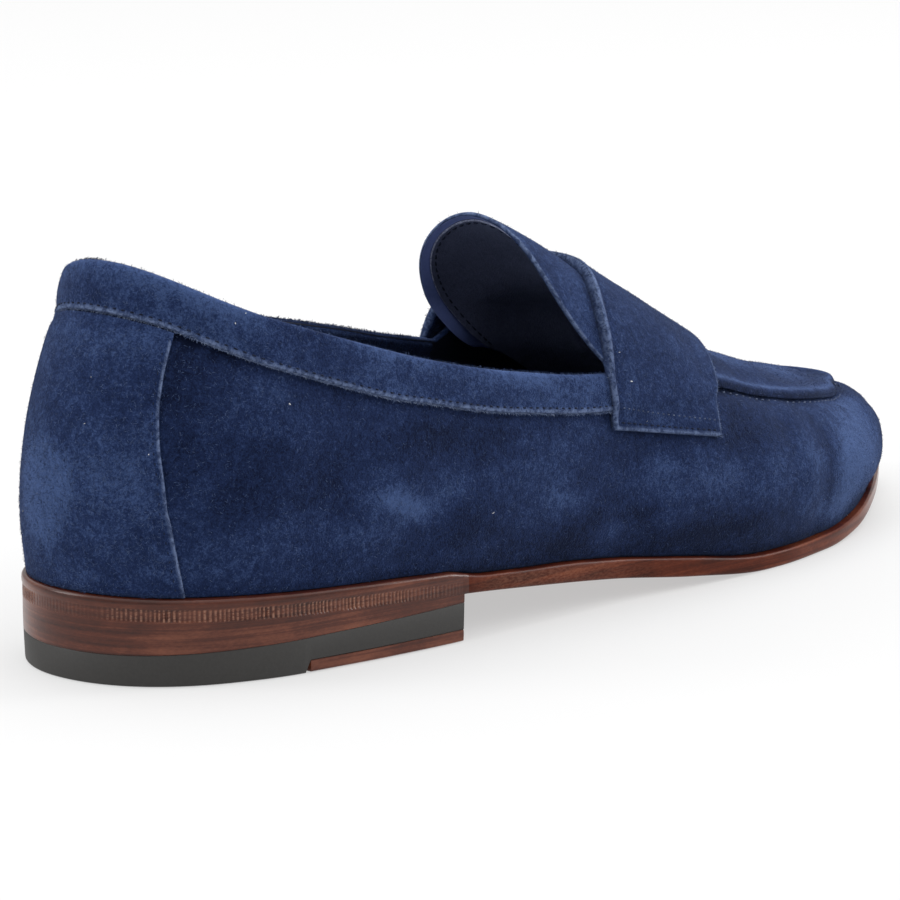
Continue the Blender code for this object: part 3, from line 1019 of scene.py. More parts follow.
# Soft troughs and ridges: y and height of the middle, length, width, slant in degrees, depth
CREASES = [
    (44, 42, 20, 7, 60, -0.5),
    (58, 35, 22, 6, 50, 0.5),
    (72, 33, 22, 7, 60, -0.5),
    (90, 30, 26, 8, 30, 0.3),
    (128, 30, 26, 7, 15, -0.35),
    (150, 24, 20, 6, 70, 0.3),
    (170, 26, 18, 5, 75, -0.35),
    (190, 24, 16, 4, 80, -0.45),
    (197, 22, 18, 4, 85, 0.35),
    (206, 20, 16, 4, 80, -0.35),
    (249, 23.5, 7, 4, 0, 0.8),
    (257, 23.5, 7, 4, 0, 1.0),
    (238, 12, 14, 5, 0, 0.7),
]


def spots_on(points, rows):
    """Sum of soft slanted spots at each point."""
    total = np.zeros(points.shape[:-1])
    for y, z, length, width, slant, strength in rows:
        turn = math.radians(slant)
        dy = points[..., 1] - y
        dz = points[..., 2] - z
        along = dy * math.cos(turn) + dz * math.sin(turn)
        across = dz * math.cos(turn) - dy * math.sin(turn)
        total += strength * np.exp(-((along / length) ** 2) - (across / width) ** 2)
    return total


def nap_light_and_shade(points):
    """Tone of the nap with painted light and shade: strokes, painted shade along the foot and a
    lighter patch on the heel's back.
    """
    total = spots_on(points, NAP_LIGHT_STROKES)
    foot = points[..., 2] - smooth(FEATHER, "height", points[..., 1])
    ahead = np.clip((points[..., 1] - FOOT_START) / FOOT_RUN, FOOT_LEAST, 1)
    total = total - FOOT_SHADE * np.exp(-np.clip(foot, 0, None) / FOOT_REACH) * ahead
    back = ((points - np.array(BACK_LIGHT)) / np.array(BACK_SPREAD)) ** 2
    total = total + BACK_LIGHTER * np.exp(-back.sum(-1) ** BACK_CRISPNESS)
    return np.clip(total, *NAP_RANGE)


def creased(points):
    """Height of the listed creases at each point."""
    return spots_on(points, CREASES)


# How deep the heel draws in under the collar, and where this fades out
WAIST_DEPTH = 1.3
WAIST_FRONT = 36.0
WAIST_RUN = 24.0
WAIST_FOOT = 30.0
WAIST_RISE = 15.0
WAIST_ABOVE = 3.5
WAIST_BELOW = 2.0
WAIST_LEFT = 0.38
TUCK_REACH = 1.3
# Depth of the tuck along the collar's seam in each panel, and the shade in it
UPPER_TUCK = 0.35
COUNTER_TUCK = 0.6
TUCK_SHADE = 0.22


def waist(t, height, tuck=0.0):
    """How far the heel draws in under the collar, with the panel's tuck at the collar's seam."""
    y = section(t)["y"]
    above = height - topline_height(t) + smooth(TOPLINE, "band", y)
    under = np.clip(-above, 0, None)
    high = bell(np.clip(above, 0, None), WAIST_ABOVE)
    low = WAIST_LEFT + (1 - WAIST_LEFT) * bell(under, WAIST_BELOW)
    drawn = WAIST_DEPTH * ease(fall(y, WAIST_FRONT, WAIST_RUN))
    drawn = drawn * ramp(height, WAIST_FOOT, WAIST_RISE) * np.where(above > 0, high, low)
    return -drawn - tuck * bell(under, TUCK_REACH)


SOLE_LIP = table("y drop", [
    (0, 0.0),
    (76, 0.0),
    (87, 1.2),
    (98, 1.1),
    (118, 0.5),
    (148, 0.45),
    (175, 1.15),
    (195, 1.35),
    (284, 1.4),
])


def sole_drop(y):
    """How far the upper reaches down over the sole's top edge in front of the heel."""
    return smooth(SOLE_LIP, "drop", y)


def ring_stations(count, extra=()):
    """Closed ring of outline parameters, equal on both sides."""
    even = np.linspace(0, 1, count + 1)
    added = [float(place(y)) for y in extra]
    kept = [t for t in even if all(abs(t - a) > 0.4 / count for a in added)]
    t = np.array(sorted(kept + added))
    return np.concatenate([t, 2 - t[-2:0:-1]])


UPPER_STATIONS = 170
THROAT_ROWS = (142.0, 145.0, 147.5, 149.5, 151.0, 152.2)
ROWS_TO_SEAM = 44
ROWS_BEYOND = 20
SPACING_TO_SEAM = 0.94
SPACING_BEYOND = 1.5
SEAM_UNDER_TOP = 0.07
SKIRT_LAP = 0.15
VAMP_BACK = 158.0
VAMP_RUN = 8.0
# Soft bands along the apron seam: strength, distance beyond it, width
SEAM_GROOVE = (-0.65, -0.3, 1.1)
SEAM_SWELL = (0.35, -5.0, 2.6)
SEAM_SHADE = (-0.75, -0.2, 1.7)


def make_upper():
    t = ring_stations(UPPER_STATIONS, (THROAT_START, *THROAT_ROWS, THROAT_END, TOE_SPINE))
    y = section(t)["y"][:, None]
    top = v_top(t)
    seam = np.minimum(v_ridge(t), top - SEAM_UNDER_TOP)
    below = seam[:, None] * np.linspace(0, 1, ROWS_TO_SEAM) ** SPACING_TO_SEAM
    rows = np.linspace(0, 1, ROWS_BEYOND)[1:] ** SPACING_BEYOND
    beyond = seam[:, None] + (top - seam)[:, None] * rows
    grid = form(t[:, None], np.concatenate([below, beyond], 1))
    skirt = grid[:, :1].copy()
    skirt[..., 2] -= sole_drop(skirt[..., 1]) + SKIRT_LAP
    grid = np.concatenate([skirt, grid], 1)
    along = row_runs(grid)
    beyond = along - along[:, ROWS_TO_SEAM:ROWS_TO_SEAM + 1]
    vamp = ramp(y, VAMP_BACK, VAMP_RUN)
    relief = creased(grid) + soft_row(beyond, *SEAM_GROOVE) * vamp
    relief = relief + soft_row(beyond, *SEAM_SWELL) * vamp
    relief = relief + waist(t[:, None], grid[..., 2], UPPER_TUCK)
    nap = nap_light_and_shade(grid) + soft_row(beyond, *SEAM_SHADE) * vamp
    # Painted shade where the heel draws in under the collar and in the tuck along its seam
    nap = nap + waist(t[:, None], grid[..., 2], TUCK_SHADE) * (y < COLLAR_FRONT)
    return sheet_piece(
        "upper_suede", grid, relief, -WALL, [navy_suede, navy_lining], "upper", "suede",
        ring=True, nap=nap,
    )


COLLAR_STATIONS = 264
COLLAR_ROLL = 1.5
# Distance from the collar's lower edge and height of its folded lip
COLLAR_LIP = ((0.0, 0.15), (0.0, 0.75), (0.2, 1.05), (0.5, 1.25), (0.9, 1.27), (1.4, 1.2))
LIP_END = 2.0
LIP_PALE = (1.2, 0.6)
LIP_HEIGHT = 1.13
COLLAR_PAD = 0.25
COLLAR_PAD_RUN = 1.6
COLLAR_ROWS = 9
ROLL_ROWS = 12
COLLAR_INSIDE = -WALL - 0.7
# Depth inside the shoe and distance from the last of the collar's inner leg
COLLAR_LEG = (
    (3.0, COLLAR_INSIDE),
    (6.0, COLLAR_INSIDE),
    (9.0, COLLAR_INSIDE),
    (11.0, COLLAR_INSIDE),
    (11.4, -WALL + 0.1),
)
# Painted highlight along the roll, in waves, and painted shade inside the shoe
COLLAR_LIGHT = 0.8
COLLAR_LIGHT_DEPTH = 5.5
COLLAR_LIGHT_RUN = 4.5
COLLAR_STROKE_SHARE = 0.4
COLLAR_NAP = 0.2
COLLAR_FRONT_NAP = 0.18
COLLAR_FRONT_RANGE = (70, 30)
COLLAR_SHADED_ROWS = 9
COLLAR_INSIDE_SHADE = 0.75
# Station, spread and light of the collar's strokes on its outer side
COLLAR_STROKES = [(22, 7, 0.25), (43, 9, -0.35), (81, 6, -0.3)]


def collar_pad(share):
    """Height of the collar's padded face from its lip (0) to its roll (1)."""
    return LIP_HEIGHT + COLLAR_PAD * math.sin(math.pi * share / COLLAR_PAD_RUN)


def make_collar():
    inner_front = float(place(COLLAR_INNER_FRONT, -1)) - 2
    t = np.linspace(inner_front, float(place(COLLAR_FRONT)), COLLAR_STATIONS)
    low = v_collar(t)
    top = v_top(t)
    base = form(t, top)
    normal = face_normal(t, top)
    up = way_up(t, top)
    tall = np.linalg.norm(form(t, top) - form(t, low), axis=-1)
    rows = []
    pale = []

    def add_face_row(distance, height, paleness):
        v = low + (top - low) * distance / tall
        at = form(t, v)
        rows.append(at + face_normal(t, v) * (height + waist(t, at[:, 2]))[:, None])
        pale.append(paleness)

    for distance, height in (*COLLAR_LIP, (LIP_END, LIP_HEIGHT)):
        add_face_row(distance, height, fall(distance, *LIP_PALE))
    for share in np.linspace(0, 1, COLLAR_ROWS)[1:]:
        add_face_row(LIP_END + (tall - COLLAR_ROLL - LIP_END) * share, collar_pad(share), 0.0)
    half = (collar_pad(1.0) - COLLAR_INSIDE) / 2
    for turn in np.linspace(0, math.pi, ROLL_ROWS)[1:]:
        rise = up * (COLLAR_ROLL * math.sin(turn) - COLLAR_ROLL)
        rows.append(base + rise + normal * (COLLAR_INSIDE + half + half * math.cos(turn)))
        pale.append(0.0)
    for depth, drop in COLLAR_LEG:
        rows.append(base - up * depth + normal * drop)
        pale.append(0.0)
    grid = np.stack(rows, 1)
    points, first, faces = joined(grid)
    napped["collar_band_suede"] = (points, faces)
    paleness = np.broadcast_to(np.array(pale), grid.shape[:2]).reshape(-1)[first]
    y = grid[..., 1]
    high = ramp(grid[..., 2] - base[:, None, 2], -COLLAR_LIGHT_DEPTH, COLLAR_LIGHT_RUN)
    lit = COLLAR_LIGHT * high * high * (0.55 + 0.45 * np.sin(y * 0.155 - 1.68))
    inner = np.arange(grid.shape[1]) >= grid.shape[1] - COLLAR_SHADED_ROWS
    nap = nap_light_and_shade(grid) * COLLAR_STROKE_SHARE + COLLAR_NAP
    nap = nap + COLLAR_FRONT_NAP * ramp(y, *COLLAR_FRONT_RANGE) + lit - COLLAR_INSIDE_SHADE * inner
    for station, spread_y, light in COLLAR_STROKES:
        nap = nap + soft_row(y, light, station, spread_y) * (grid[..., 0] > 0)
    return put(
        "collar_band_suede", points, faces, [navy_suede], "collar_band", "suede",
        edge=paleness, nap=nap.reshape(-1)[first],
    )


COUNTER_WIDTH = 46.0
COUNTER_HEIGHT = 0.95
COUNTER_EDGE = 0.7
COUNTER_UNDERSIDE = 0.05
COUNTER_CREASES = 0.5
COUNTER_PALE = (0.8, 0.45)
COUNTER_NAP = 0.08
COUNTER_GAP = 0.004


def counter_edge(height):
    """Outline parameter of the counter's front seam at a height."""
    t = np.linspace(0.001, 0.4, 400)
    out = section(t)["out"]
    angle = np.degrees(np.arctan2(out[:, 0], -out[:, 1]))
    return np.interp(smooth(COUNTER_SEAM, "angle", height), angle, t)


def counter_places(across, share):
    """Outline parameter and height parameter on the counter panel."""
    foot = smooth(FEATHER, "height", 0.0)
    top = smooth(TOPLINE, "height", 0.0) - smooth(TOPLINE, "band", 0.0) - COUNTER_FOOT
    t = across * counter_edge(foot + (top - foot) * share)
    high = v_collar(t) - COUNTER_GAP
    return t, high * share


def make_counter():
    across = edge_shares(60, COUNTER_WIDTH)[:, None] * 2 - 1
    share = np.concatenate([np.linspace(0, 0.75, 16), np.linspace(0.76, 1, 38)])
    t, v = counter_places(across, share[None, :])
    grid = form(t, v)
    away = edge_distance(grid, "ab")
    over = COUNTER_HEIGHT - rounded(away, COUNTER_EDGE)
    over = over + creased(grid) * COUNTER_CREASES
    over = over + waist(t, grid[..., 2], COUNTER_TUCK)
    return sheet_piece(
        "heel_counter_suede", grid, over, COUNTER_UNDERSIDE, [navy_suede], "heel_counter",
        "suede", edge=fall(away, *COUNTER_PALE), nap=nap_light_and_shade(grid) + COUNTER_NAP,
    )


APRON_ROWS = 40
APRON_SPACING = 1.9
# Ridge of the apron seam: distance of its top from the seam, heights, inner slope
RIDGE_AT = 2.0
RIDGE_HEIGHT = 1.9
RIDGE_LESS_OUTSIDE = 0.55
RIDGE_FOOT = 0.12
RIDGE_SLOPE = 2.6
APRON_HEIGHT = 1.0
APRON_UNDERSIDE = 0.02
CREST_HEIGHT = 1.5
# Where the crest ends in front, is less at its back and rises from the seam
CREST_FRONT = (222, 22)
CREST_BACK = (176, 10)
CREST_LESS_BACK = 0.55
CREST_RISE = (3, 7)
# Where the dip starts in front, and where the outer side ends round the toe
DIP_BACK = (198, 18)
OUTER_END = (0.93, 0.12)
# Soft bands beside the seam: strength, distance inward from it, width
APRON_DIP = (-0.7, 8.5, 4.0)
APRON_PALE = (0.1, 2.3, 0.7)
APRON_NAP = 0.12
# Painted light and shade beside the seam: a highlight on the ridge, shade on its wall and in the
# dip, light further in
APRON_LIGHT_AND_SHADE = ((0.6, 2.4, 0.9), (-0.9, 0.4, 1.0), (-0.35, 7.0, 3.0), (0.35, 18.0, 6.0))


def apron_grid(rows):
    back = float(place(APRON_BACK))
    pole = float(place(TOE_SPINE))
    even = np.linspace(0, 1, 151)
    t = np.concatenate([np.linspace(back, pole, 50), even[even > pole + 0.004]])
    t = np.concatenate([t, 2 - t[-2::-1]])
    low = v_ridge(t)
    return t, form(t[:, None], low[:, None] + (2 - low)[:, None] * rows)


def make_apron():
    t, grid = apron_grid(np.linspace(0, 1, APRON_ROWS) ** APRON_SPACING)
    away = row_runs(grid)
    y = section(t)["y"][:, None]
    front = ramp(y, *DIP_BACK)
    crest = ease(fall(y, *CREST_FRONT)) * (1 - CREST_LESS_BACK * fall(y, *CREST_BACK))
    tall = RIDGE_HEIGHT - RIDGE_LESS_OUTSIDE * fall(t, *OUTER_END)[:, None]
    field = APRON_HEIGHT + CREST_HEIGHT * crest * ramp(away, *CREST_RISE)
    field = field + front * soft_row(away, *APRON_DIP)
    climb = np.sin(np.clip(away / RIDGE_AT, 0, 1) * np.pi / 2) ** 0.85
    wall = RIDGE_FOOT + (tall - RIDGE_FOOT) * climb
    inward = np.clip(away - RIDGE_AT, 0, None)
    over = np.where(away < RIDGE_AT, wall, field + (tall - field) * bell(inward, RIDGE_SLOPE))
    nap = APRON_NAP
    for band in APRON_LIGHT_AND_SHADE:
        nap = nap + soft_row(away, *band)
    return sheet_piece(
        "apron_suede", grid, over, APRON_UNDERSIDE, [navy_suede], "apron", "suede",
        edge=soft_row(away, *APRON_PALE), nap=nap,
    )


TONGUE_SKIN = (0.45, 1.45)
TONGUE_EDGE = 0.3
TONGUE_TUCK = 5.0
# Heights and side to side range of the tuck, and stations where the facing drops
TUCK_HEIGHTS = (62, 9)
TUCK_SIDE = (9, 6)
FACING_RANGE = (134, 14)
TONGUE_NAP = 0.12
FACING_SKIN = (-0.43, 0.1)
FACING_EDGE = 0.25
FACING_DROP = 2.6


def tongue_grid(share, rows, inset=0.0, root=TONGUE_ROOT + 14):
    """Points of the tongue on the last, share from its inner edge (-1) to its outer (1)."""
    sizes = zip(TONGUE_OUTER, TONGUE_INNER)
    width, corner, power, slant = [np.where(share > 0, a, b) for a, b in sizes]
    across = np.abs(share) * (width - inset)
    end = TONGUE_END + inset + corner * np.abs(share) ** power + slant * across
    y = end[:, None] + (root - end)[:, None] * rows
    t = place(y, np.where(share >= 0, 1, -1)[:, None])
    return form(t, v_at_reach(t, across[:, None]))


def tucked(points):
    """How far the tongue's inner side draws in to pass inside the collar."""
    below = fall(points[..., 2], *TUCK_HEIGHTS) * fall(points[..., 0], *TUCK_SIDE)
    return -TONGUE_TUCK * ease(below)


def under_vamp(points):
    """How far the lining drops to pass under the closed front of the vamp."""
    return -FACING_DROP * ease(ramp(points[..., 1], *FACING_RANGE))


def make_tongue():
    close = np.array([0, 0.1, 0.22, 0.4, 0.7, 1.2, 2.2]) / 50.0
    rows = np.unique(np.concatenate([close, np.linspace(0.07, 1, 30)]))
    close = 1 - edge_shares(6, 6.0)[::-1] * 0.1
    share = np.unique(np.concatenate([np.linspace(-1, 0.9, 90), close]))
    grid = tongue_grid(share, rows)
    away = edge_distance(grid, "bc")
    shift = tucked(grid)
    under, over = TONGUE_SKIN
    outer = sheet_piece(
        "tongue_suede", grid, over - rounded(away, TONGUE_EDGE) + shift, under + shift,
        [navy_suede, rim_leather], "tongue", "suede",
        edge=np.clip(0.55 - away, 0, 0.45) / 0.45, nap=TONGUE_NAP,
    )
    grid = tongue_grid(np.linspace(-1, 1, 120), rows, LINING_INSET, TONGUE_ROOT + 40)[::-1]
    away = edge_distance(grid, "c")
    shift = tucked(grid) + under_vamp(grid)
    under, over = FACING_SKIN
    facing = sheet_piece(
        "tongue_lining", grid, over - rounded(away, FACING_EDGE) - shift, under - shift,
        [tongue_facing], None, "lining", edge=np.clip(0.3 - away, 0, 0.2) / 0.2,
    )
    return outer, facing


STRAP_SKIN = 1.0
STRAP_EDGE = 0.45
STRAP_LENGTH = 130.0
STRAP_WIDTH = 34.0
# Height of the strap's underside: on the quarter, over the collar, over the vamp, over the tongue
LIFT_ON_QUARTER = 0.4
LIFT_OVER_COLLAR = 1.1
LIFT_OVER_VAMP = 1.6
LIFT_OVER_TONGUE = 1.4
LIFT_IN_FRONT = 0.3
# Heights over the collar's seam where it rises over collar, tongue and vamp, and the vamp's run
RISE_OVER_COLLAR = (-1.5, 2.5)
RISE_OVER_TONGUE = (4, 12)
RISE_OVER_VAMP = (-4, 11)
RUN_OVER_VAMP = 12
# Soft bands along the strap's back edge and ends: strength, distance inward, width
STRAP_FOLD = ((0.12, 0.7, 0.5), (-0.25, 1.6, 0.4))
STRAP_NAP = 0.17
STRAP_BACK_SHADE = (-0.35, 1.7, 0.5)
STRAP_END_SHADE = (-0.2, 1.5, 0.6)


def strap_grid(along, across):
    """Points of the strap: along from inner end (-1) to outer (1), across from back to front."""
    rise = np.sin((1 - np.abs(along)) * np.pi / 2)
    shift = np.where(along < 0, STRAP_INNER_SHIFT, 0.0) * (1 - rise ** STRAP_INNER_POWER)
    back = STRAP_BACK + STRAP_BACK_SWEEP * rise ** STRAP_BACK_POWER + shift
    front = STRAP_FRONT + STRAP_FRONT_SWEEP * rise ** STRAP_FRONT_POWER + shift
    y = back + (front - back) * across
    t = place(y, np.where(along >= 0, 1, -1))
    end_y = STRAP_BACK + (STRAP_FRONT - STRAP_BACK) * across
    end = v_at_height(t, STRAP_END_HEIGHT + STRAP_END_SLOPE * (end_y - STRAP_BACK))
    return form(t, end + (2 - end) * (1 - np.abs(along)))


def strap_lift(points):
    """Height of the strap's underside over the last, as it passes over the other pieces."""
    y = np.clip(points[..., 1], 0, 150)
    above = points[..., 2] - smooth(TOPLINE, "height", y) + smooth(TOPLINE, "band", y)
    ahead = ramp(points[..., 1], STRAP_FRONT, RUN_OVER_VAMP) * ease(ramp(above, *RISE_OVER_VAMP))
    lift = LIFT_ON_QUARTER + LIFT_OVER_COLLAR * ease(ramp(above, *RISE_OVER_COLLAR))
    lift = lift + LIFT_OVER_VAMP * ahead
    higher = LIFT_OVER_TONGUE + LIFT_IN_FRONT * ahead
    return lift + higher * ease(ramp(above, *RISE_OVER_TONGUE))


def make_strap():
    along = edge_shares(110, STRAP_LENGTH)[:, None] * 2 - 1
    across = edge_shares(30, STRAP_WIDTH)[None, :]
    grid = strap_grid(along, across)
    away = edge_distance(grid, "abcd")
    rear = edge_distance(grid, "c")
    ends = edge_distance(grid, "ab")
    ahead = edge_distance(grid, "d")
    lift = strap_lift(grid)
    over = lift + STRAP_SKIN - rounded(away, STRAP_EDGE)
    for band in STRAP_FOLD:
        over = over + soft_row(rear, *band)
    # Distance from an edge, how far it is pale, over which run it fades, most paleness
    pale = np.zeros(grid.shape[:2])
    for distance, reach, run, most in (
        (away, 0.35, 0.25, 0.8),
        (rear, 1.5, 0.9, 0.75),
        (ends, 1.0, 0.6, 0.8),
        (ahead, 0.75, 0.5, 0.9),
    ):
        pale = np.maximum(pale, np.clip((reach - distance) / run, 0, most))
    nap = STRAP_NAP + soft_row(rear, *STRAP_BACK_SHADE) + soft_row(ends, *STRAP_END_SHADE)
    under = lift - 0.35 - 1.3 * np.clip(lift - 1.5, 0, 1)
    return sheet_piece(
        "strap_suede", grid, over, under, [navy_suede], "strap", "suede", edge=pale, nap=nap,
    )


make_upper()
make_collar()
make_counter()
make_apron()
make_tongue()
make_strap()


# Sole and heel

# Share of the thickness, inset of the forefoot's round edge, inset over the heel, wheel marks
SOLE_LEVELS = [
    (0.0, 4.0, 4.0, 0.0),
    (0.0, 0.45, 0.25, 0.0),
    (0.05, 0.15, 0.25, 0.6),
    (0.14, 0.02, 0.25, 1.0),
    (0.3, 0.0, 0.25, 1.0),
    (0.46, 0.04, 0.25, 1.0),
    (0.53, 0.0, 0.24, 0.5),
    (0.56, 0.0, 0.22, 0.0),
    (0.62, 0.0, 0.1, 0.0),
    (0.75, 0.02, 0.05, 0.0),
    (0.86, 0.08, 0.1, 0.0),
    (0.94, 0.22, 0.3, 0.0),
    (0.99, 0.5, 0.7, 0.0),
    (1.0, 1.0, 1.2, 0.0),
    (1.0, 4.0, 4.0, 0.0),
]
WHEEL_PITCH = 1.05
WHEEL_DEPTH = 0.3
# Painted shade in the wheel's notches
WHEEL_NOTCH_SHADE = 0.6
WAIST_WEAR = 0.22
# Edge ink with painted shade along the sole's top edge under the upper, less towards the toe
EDGE_INK_AND_SHADE = 0.4
EDGE_DARK_LESS_AT_TOE = 0.3
TOE_POLISH = 0.7
# Ranges along the sole: wheel marks, rubbed waist, lighter top edge towards the toe and polish of
# the toe
WHEEL_RANGE = (82, 30)
RUBBED_BACK = (82, 10)
RUBBED_FRONT = (150, 40)
TOE_LESS_DARK_RANGE = (200, 25)
POLISH_RANGE = (226, 35)
JOINT_GAP = 0.02
# Inset and share of the height of the rubber top piece
RUBBER_LEVELS = ((0.85, 0.0), (0.65, 0.03), (0.58, 0.1), (0.34, 0.97), (0.45, 1.0))
# Inset and height of the leather tip
TIP_LEVELS = ((1.1, 0.0), (0.72, 0.2), (0.6, 1.8), (0.7, TIP_HEIGHT - JOINT_GAP))
# Inset and share of the thickness of the insole
INSOLE_LEVELS = ((0.0, 0.0), (0.0, 0.7), (0.4, 0.95), (1.0, 1.0))


def sole_stations(step, last=LENGTH):
    """Stations about evenly spaced round the edge, from heel to toe."""
    fine = np.linspace(0, float(place(last, inset=0.0)), 6000)
    along = run_of(outline(fine))
    count = int(along[-1] / step)
    return np.interp(np.linspace(0, along[-1], count + 1), along, fine)


def ring_at(t, inset, height):
    """One ring of a slab: an inset outline at a height that depends on the station."""
    sides = []
    for side in (t, 2 - t):
        plan = outline(side, inset)
        z = np.broadcast_to(height(plan[:, 1]), plan[:, 1].shape)
        sides.append(np.concatenate([plan, z[:, None]], -1))
    return sides


def outsole_top(y):
    return smooth(FEATHER, "height", y) - GAP


def outsole_bottom(y):
    return outsole_top(y) - OUTSOLE_THICKNESS


def lift_line(y):
    """Height of the joint between the leather lift and the rubber top piece."""
    return LIFT_LINE_BACK + LIFT_LINE_RISE * y / HEEL_BREAST


def pushed(ring, depth):
    """Moves a ring's points inward by a depth of the place along the side and the station."""
    moved = []
    for number, side in enumerate(ring):
        line = side[:, :2]
        way = unit(np.gradient(line, axis=0))
        inward = np.stack([-way[:, 1], way[:, 0]], 1) * (1 if number == 0 else -1)
        inward[0] = (0, 1)
        if line[-1, 1] > LENGTH - 1:
            inward[-1] = (0, -1)
        done = side.copy()
        done[:, :2] += inward * depth(run_of(line), line[:, 1])[:, None]
        moved.append(done)
    return moved


def wheel_wave(along):
    """Ridges and notches of the wheel, a little uneven along the edge."""
    drift = 0.18 * np.sin(along * 0.31) + 0.12 * np.sin(along * 0.83 + 1.0)
    return np.clip(0.5 + 0.9 * np.cos(2 * np.pi * (along / WHEEL_PITCH + drift)), 0, 1)


def wheel_reach(along, y):
    """The wheel was pressed hard at the heel's sides and lightly at its back and breast."""
    uneven = 0.72 + 0.28 * np.sin(along * 0.16 + 0.4) * np.sin(along * 0.71)
    return fall(y, *WHEEL_RANGE) * np.clip((along - 9) / 6, 0.12, 1) * uneven


def heel_share(y):
    """One over the heel, none in front of its breast."""
    return fall(y, HEEL_BREAST + 1, 1.5)


def sole_wear(line, share, mark):
    """Rubbed (above 0) and dark (below 0) places of one level of the sole's edge: the dark is
    edge ink with painted shade along the top edge under the upper, and painted shade in the
    wheel's notches.
    """
    along = run_of(line[:, :2])
    y = line[:, 1]
    wave = wheel_wave(along)
    marked = wheel_reach(along, y) * (mark > 0)
    rubbed = ramp(y, *RUBBED_BACK) * fall(y, *RUBBED_FRONT)
    ink_and_shade = (EDGE_INK_AND_SHADE - EDGE_DARK_LESS_AT_TOE * ramp(y, *TOE_LESS_DARK_RANGE)) * (share > 0.97)
    wheel_rub_and_shade = (1 - wave) * marked - WHEEL_NOTCH_SHADE * wave * marked
    return wheel_rub_and_shade - ink_and_shade + WAIST_WEAR * rubbed * (share < 0.8)


def make_outsole():
    heel = sole_stations(0.15, HEEL_BREAST)
    whole = sole_stations(1.6)
    t = np.concatenate([heel, whole[whole > heel[-1] + 0.002]])
    base = ring_at(t, 0.0, outsole_bottom)
    rings = []
    wear = []
    for share, fore, back, mark in SOLE_LEVELS:
        def depth(along, y, fore=fore, back=back, mark=mark):
            press = WHEEL_DEPTH * mark * wheel_wave(along) * wheel_reach(along, y)
            return fore + (back - fore) * heel_share(y) + press

        ring = pushed(base, depth)
        for side in ring:
            side[:, 2] = outsole_bottom(side[:, 1]) + OUTSOLE_THICKNESS * share
            side[:, 2] -= sole_drop(side[:, 1]) * max(0.0, 2 * share - 1)
        rings.append(ring)
        edge_marks = [sole_wear(line, share, mark) for line in base]
        wear.append(np.concatenate([edge_marks[0], edge_marks[1][::-1]]))
    y = np.concatenate([base[0][:, 1], base[1][::-1, 1]])
    return slab_piece(
        "outsole_leather", rings, [brown_sole, brown_edge], "outsole", "sole_leather",
        HEEL_BREAST + 1, wear=np.concatenate(wear),
        polish=np.tile(TOE_POLISH * ramp(y, *POLISH_RANGE), len(SOLE_LEVELS)),
    )


def heel_layer(name, levels, back, material, node, slot):
    """One layer of the heel between stacked levels of inset and height."""
    t = sole_stations(1.0, HEEL_BREAST)
    if back > 0:
        ends = [float(place(y, inset=0.0)) for y in (back, HEEL_BREAST)]
        t = np.linspace(*ends, 40)
    rings = [ring_at(t, inset, height) for inset, height in levels]
    wear = np.zeros(2 * len(t) * len(levels))
    return slab_piece(name, rings, [material], node, slot, wear=wear)


def rubber_bottom(y):
    return np.where(y > TIP_BACK, TIP_HEIGHT, 0.0)


def rubber_height(y, share):
    low = rubber_bottom(y)
    return low + (lift_line(y) - JOINT_GAP - low) * share


def lift_top(y):
    return outsole_bottom(y) - 0.004


def make_heel():
    layer = [
        (0.42, lambda y: lift_line(y) + 0.01),
        (0.3, lambda y: lift_line(y) + 0.12),
        (0.25, lambda y: (lift_line(y) + lift_top(y)) / 2),
        (0.25, lift_top),
    ]
    heel_layer("heel_lift_leather", layer, 0.0, brown_sole, "heel_lift", "sole_leather")
    t = sole_stations(1.0, HEEL_BREAST)
    step = float(place(TIP_BACK, inset=0.0))
    t = np.array(sorted(list(t[np.abs(t - step) > 0.004]) + [step - 1e-4, step + 1e-4]))
    rings = []
    for inset, share in RUBBER_LEVELS:
        rings.append(ring_at(t, inset, lambda y, s=share: rubber_height(y, s)))
    slab_piece("heel_top_piece_rubber", rings, [dark_rubber], "heel_top_piece", "rubber")
    tip = [(inset, lambda y, z=height: 0 * y + z) for inset, height in TIP_LEVELS]
    heel_layer(
        "heel_tip_leather", tip, TIP_BACK + 0.03, brown_sole, "heel_tip", "sole_leather",
    )


def make_insole():
    t = sole_stations(3.0)
    inset = FEATHER_MARGIN + WALL + 2 * GAP
    rings = []
    for extra, share in INSOLE_LEVELS:
        height = lambda y, s=share: smooth(FEATHER, "height", y) + GAP + INSOLE_THICKNESS * s
        rings.append(ring_at(t, inset + extra, height))
    return slab_piece("insole_sock", rings, [navy_lining], "insole", "lining")


make_outsole()
make_heel()
make_insole()


# Stitches

# Length, gap and radius of the stitches of each seam
COLLAR_STITCH = (1.1, 1.0, 0.2)
COUNTER_STITCH = (0.9, 1.2, 0.15)
APRON_STITCH = (0.9, 2.2, 0.17)
TONGUE_STITCH = (1.7, 0.9, 0.22)
# Row, inset from the strap's end, thread, stitch
STRAP_STITCHES = (
    ("edge", 1.4, navy_thread, (1.2, 0.7, 0.17)),
    ("second", 4.1, pale_thread, (0.55, 1.2, 0.17)),
)
STRAP_HALF = 58.0
COUNTER_STITCH_INSET = 1.5
COLLAR_STITCH_INSET = 1.2
APRON_STITCH_BACK = 166.0
# Height of each row's path over the last
COLLAR_STITCH_HEIGHT = 1.12
COUNTER_STITCH_HEIGHT = 0.78
APRON_STITCH_HEIGHT = -0.28


def on_face(t, v, lift):
    """Path at a height over the last, with its normals."""
    normal = face_normal(t, v)
    return form(t, v) + normal * np.asarray(lift)[..., None], normal


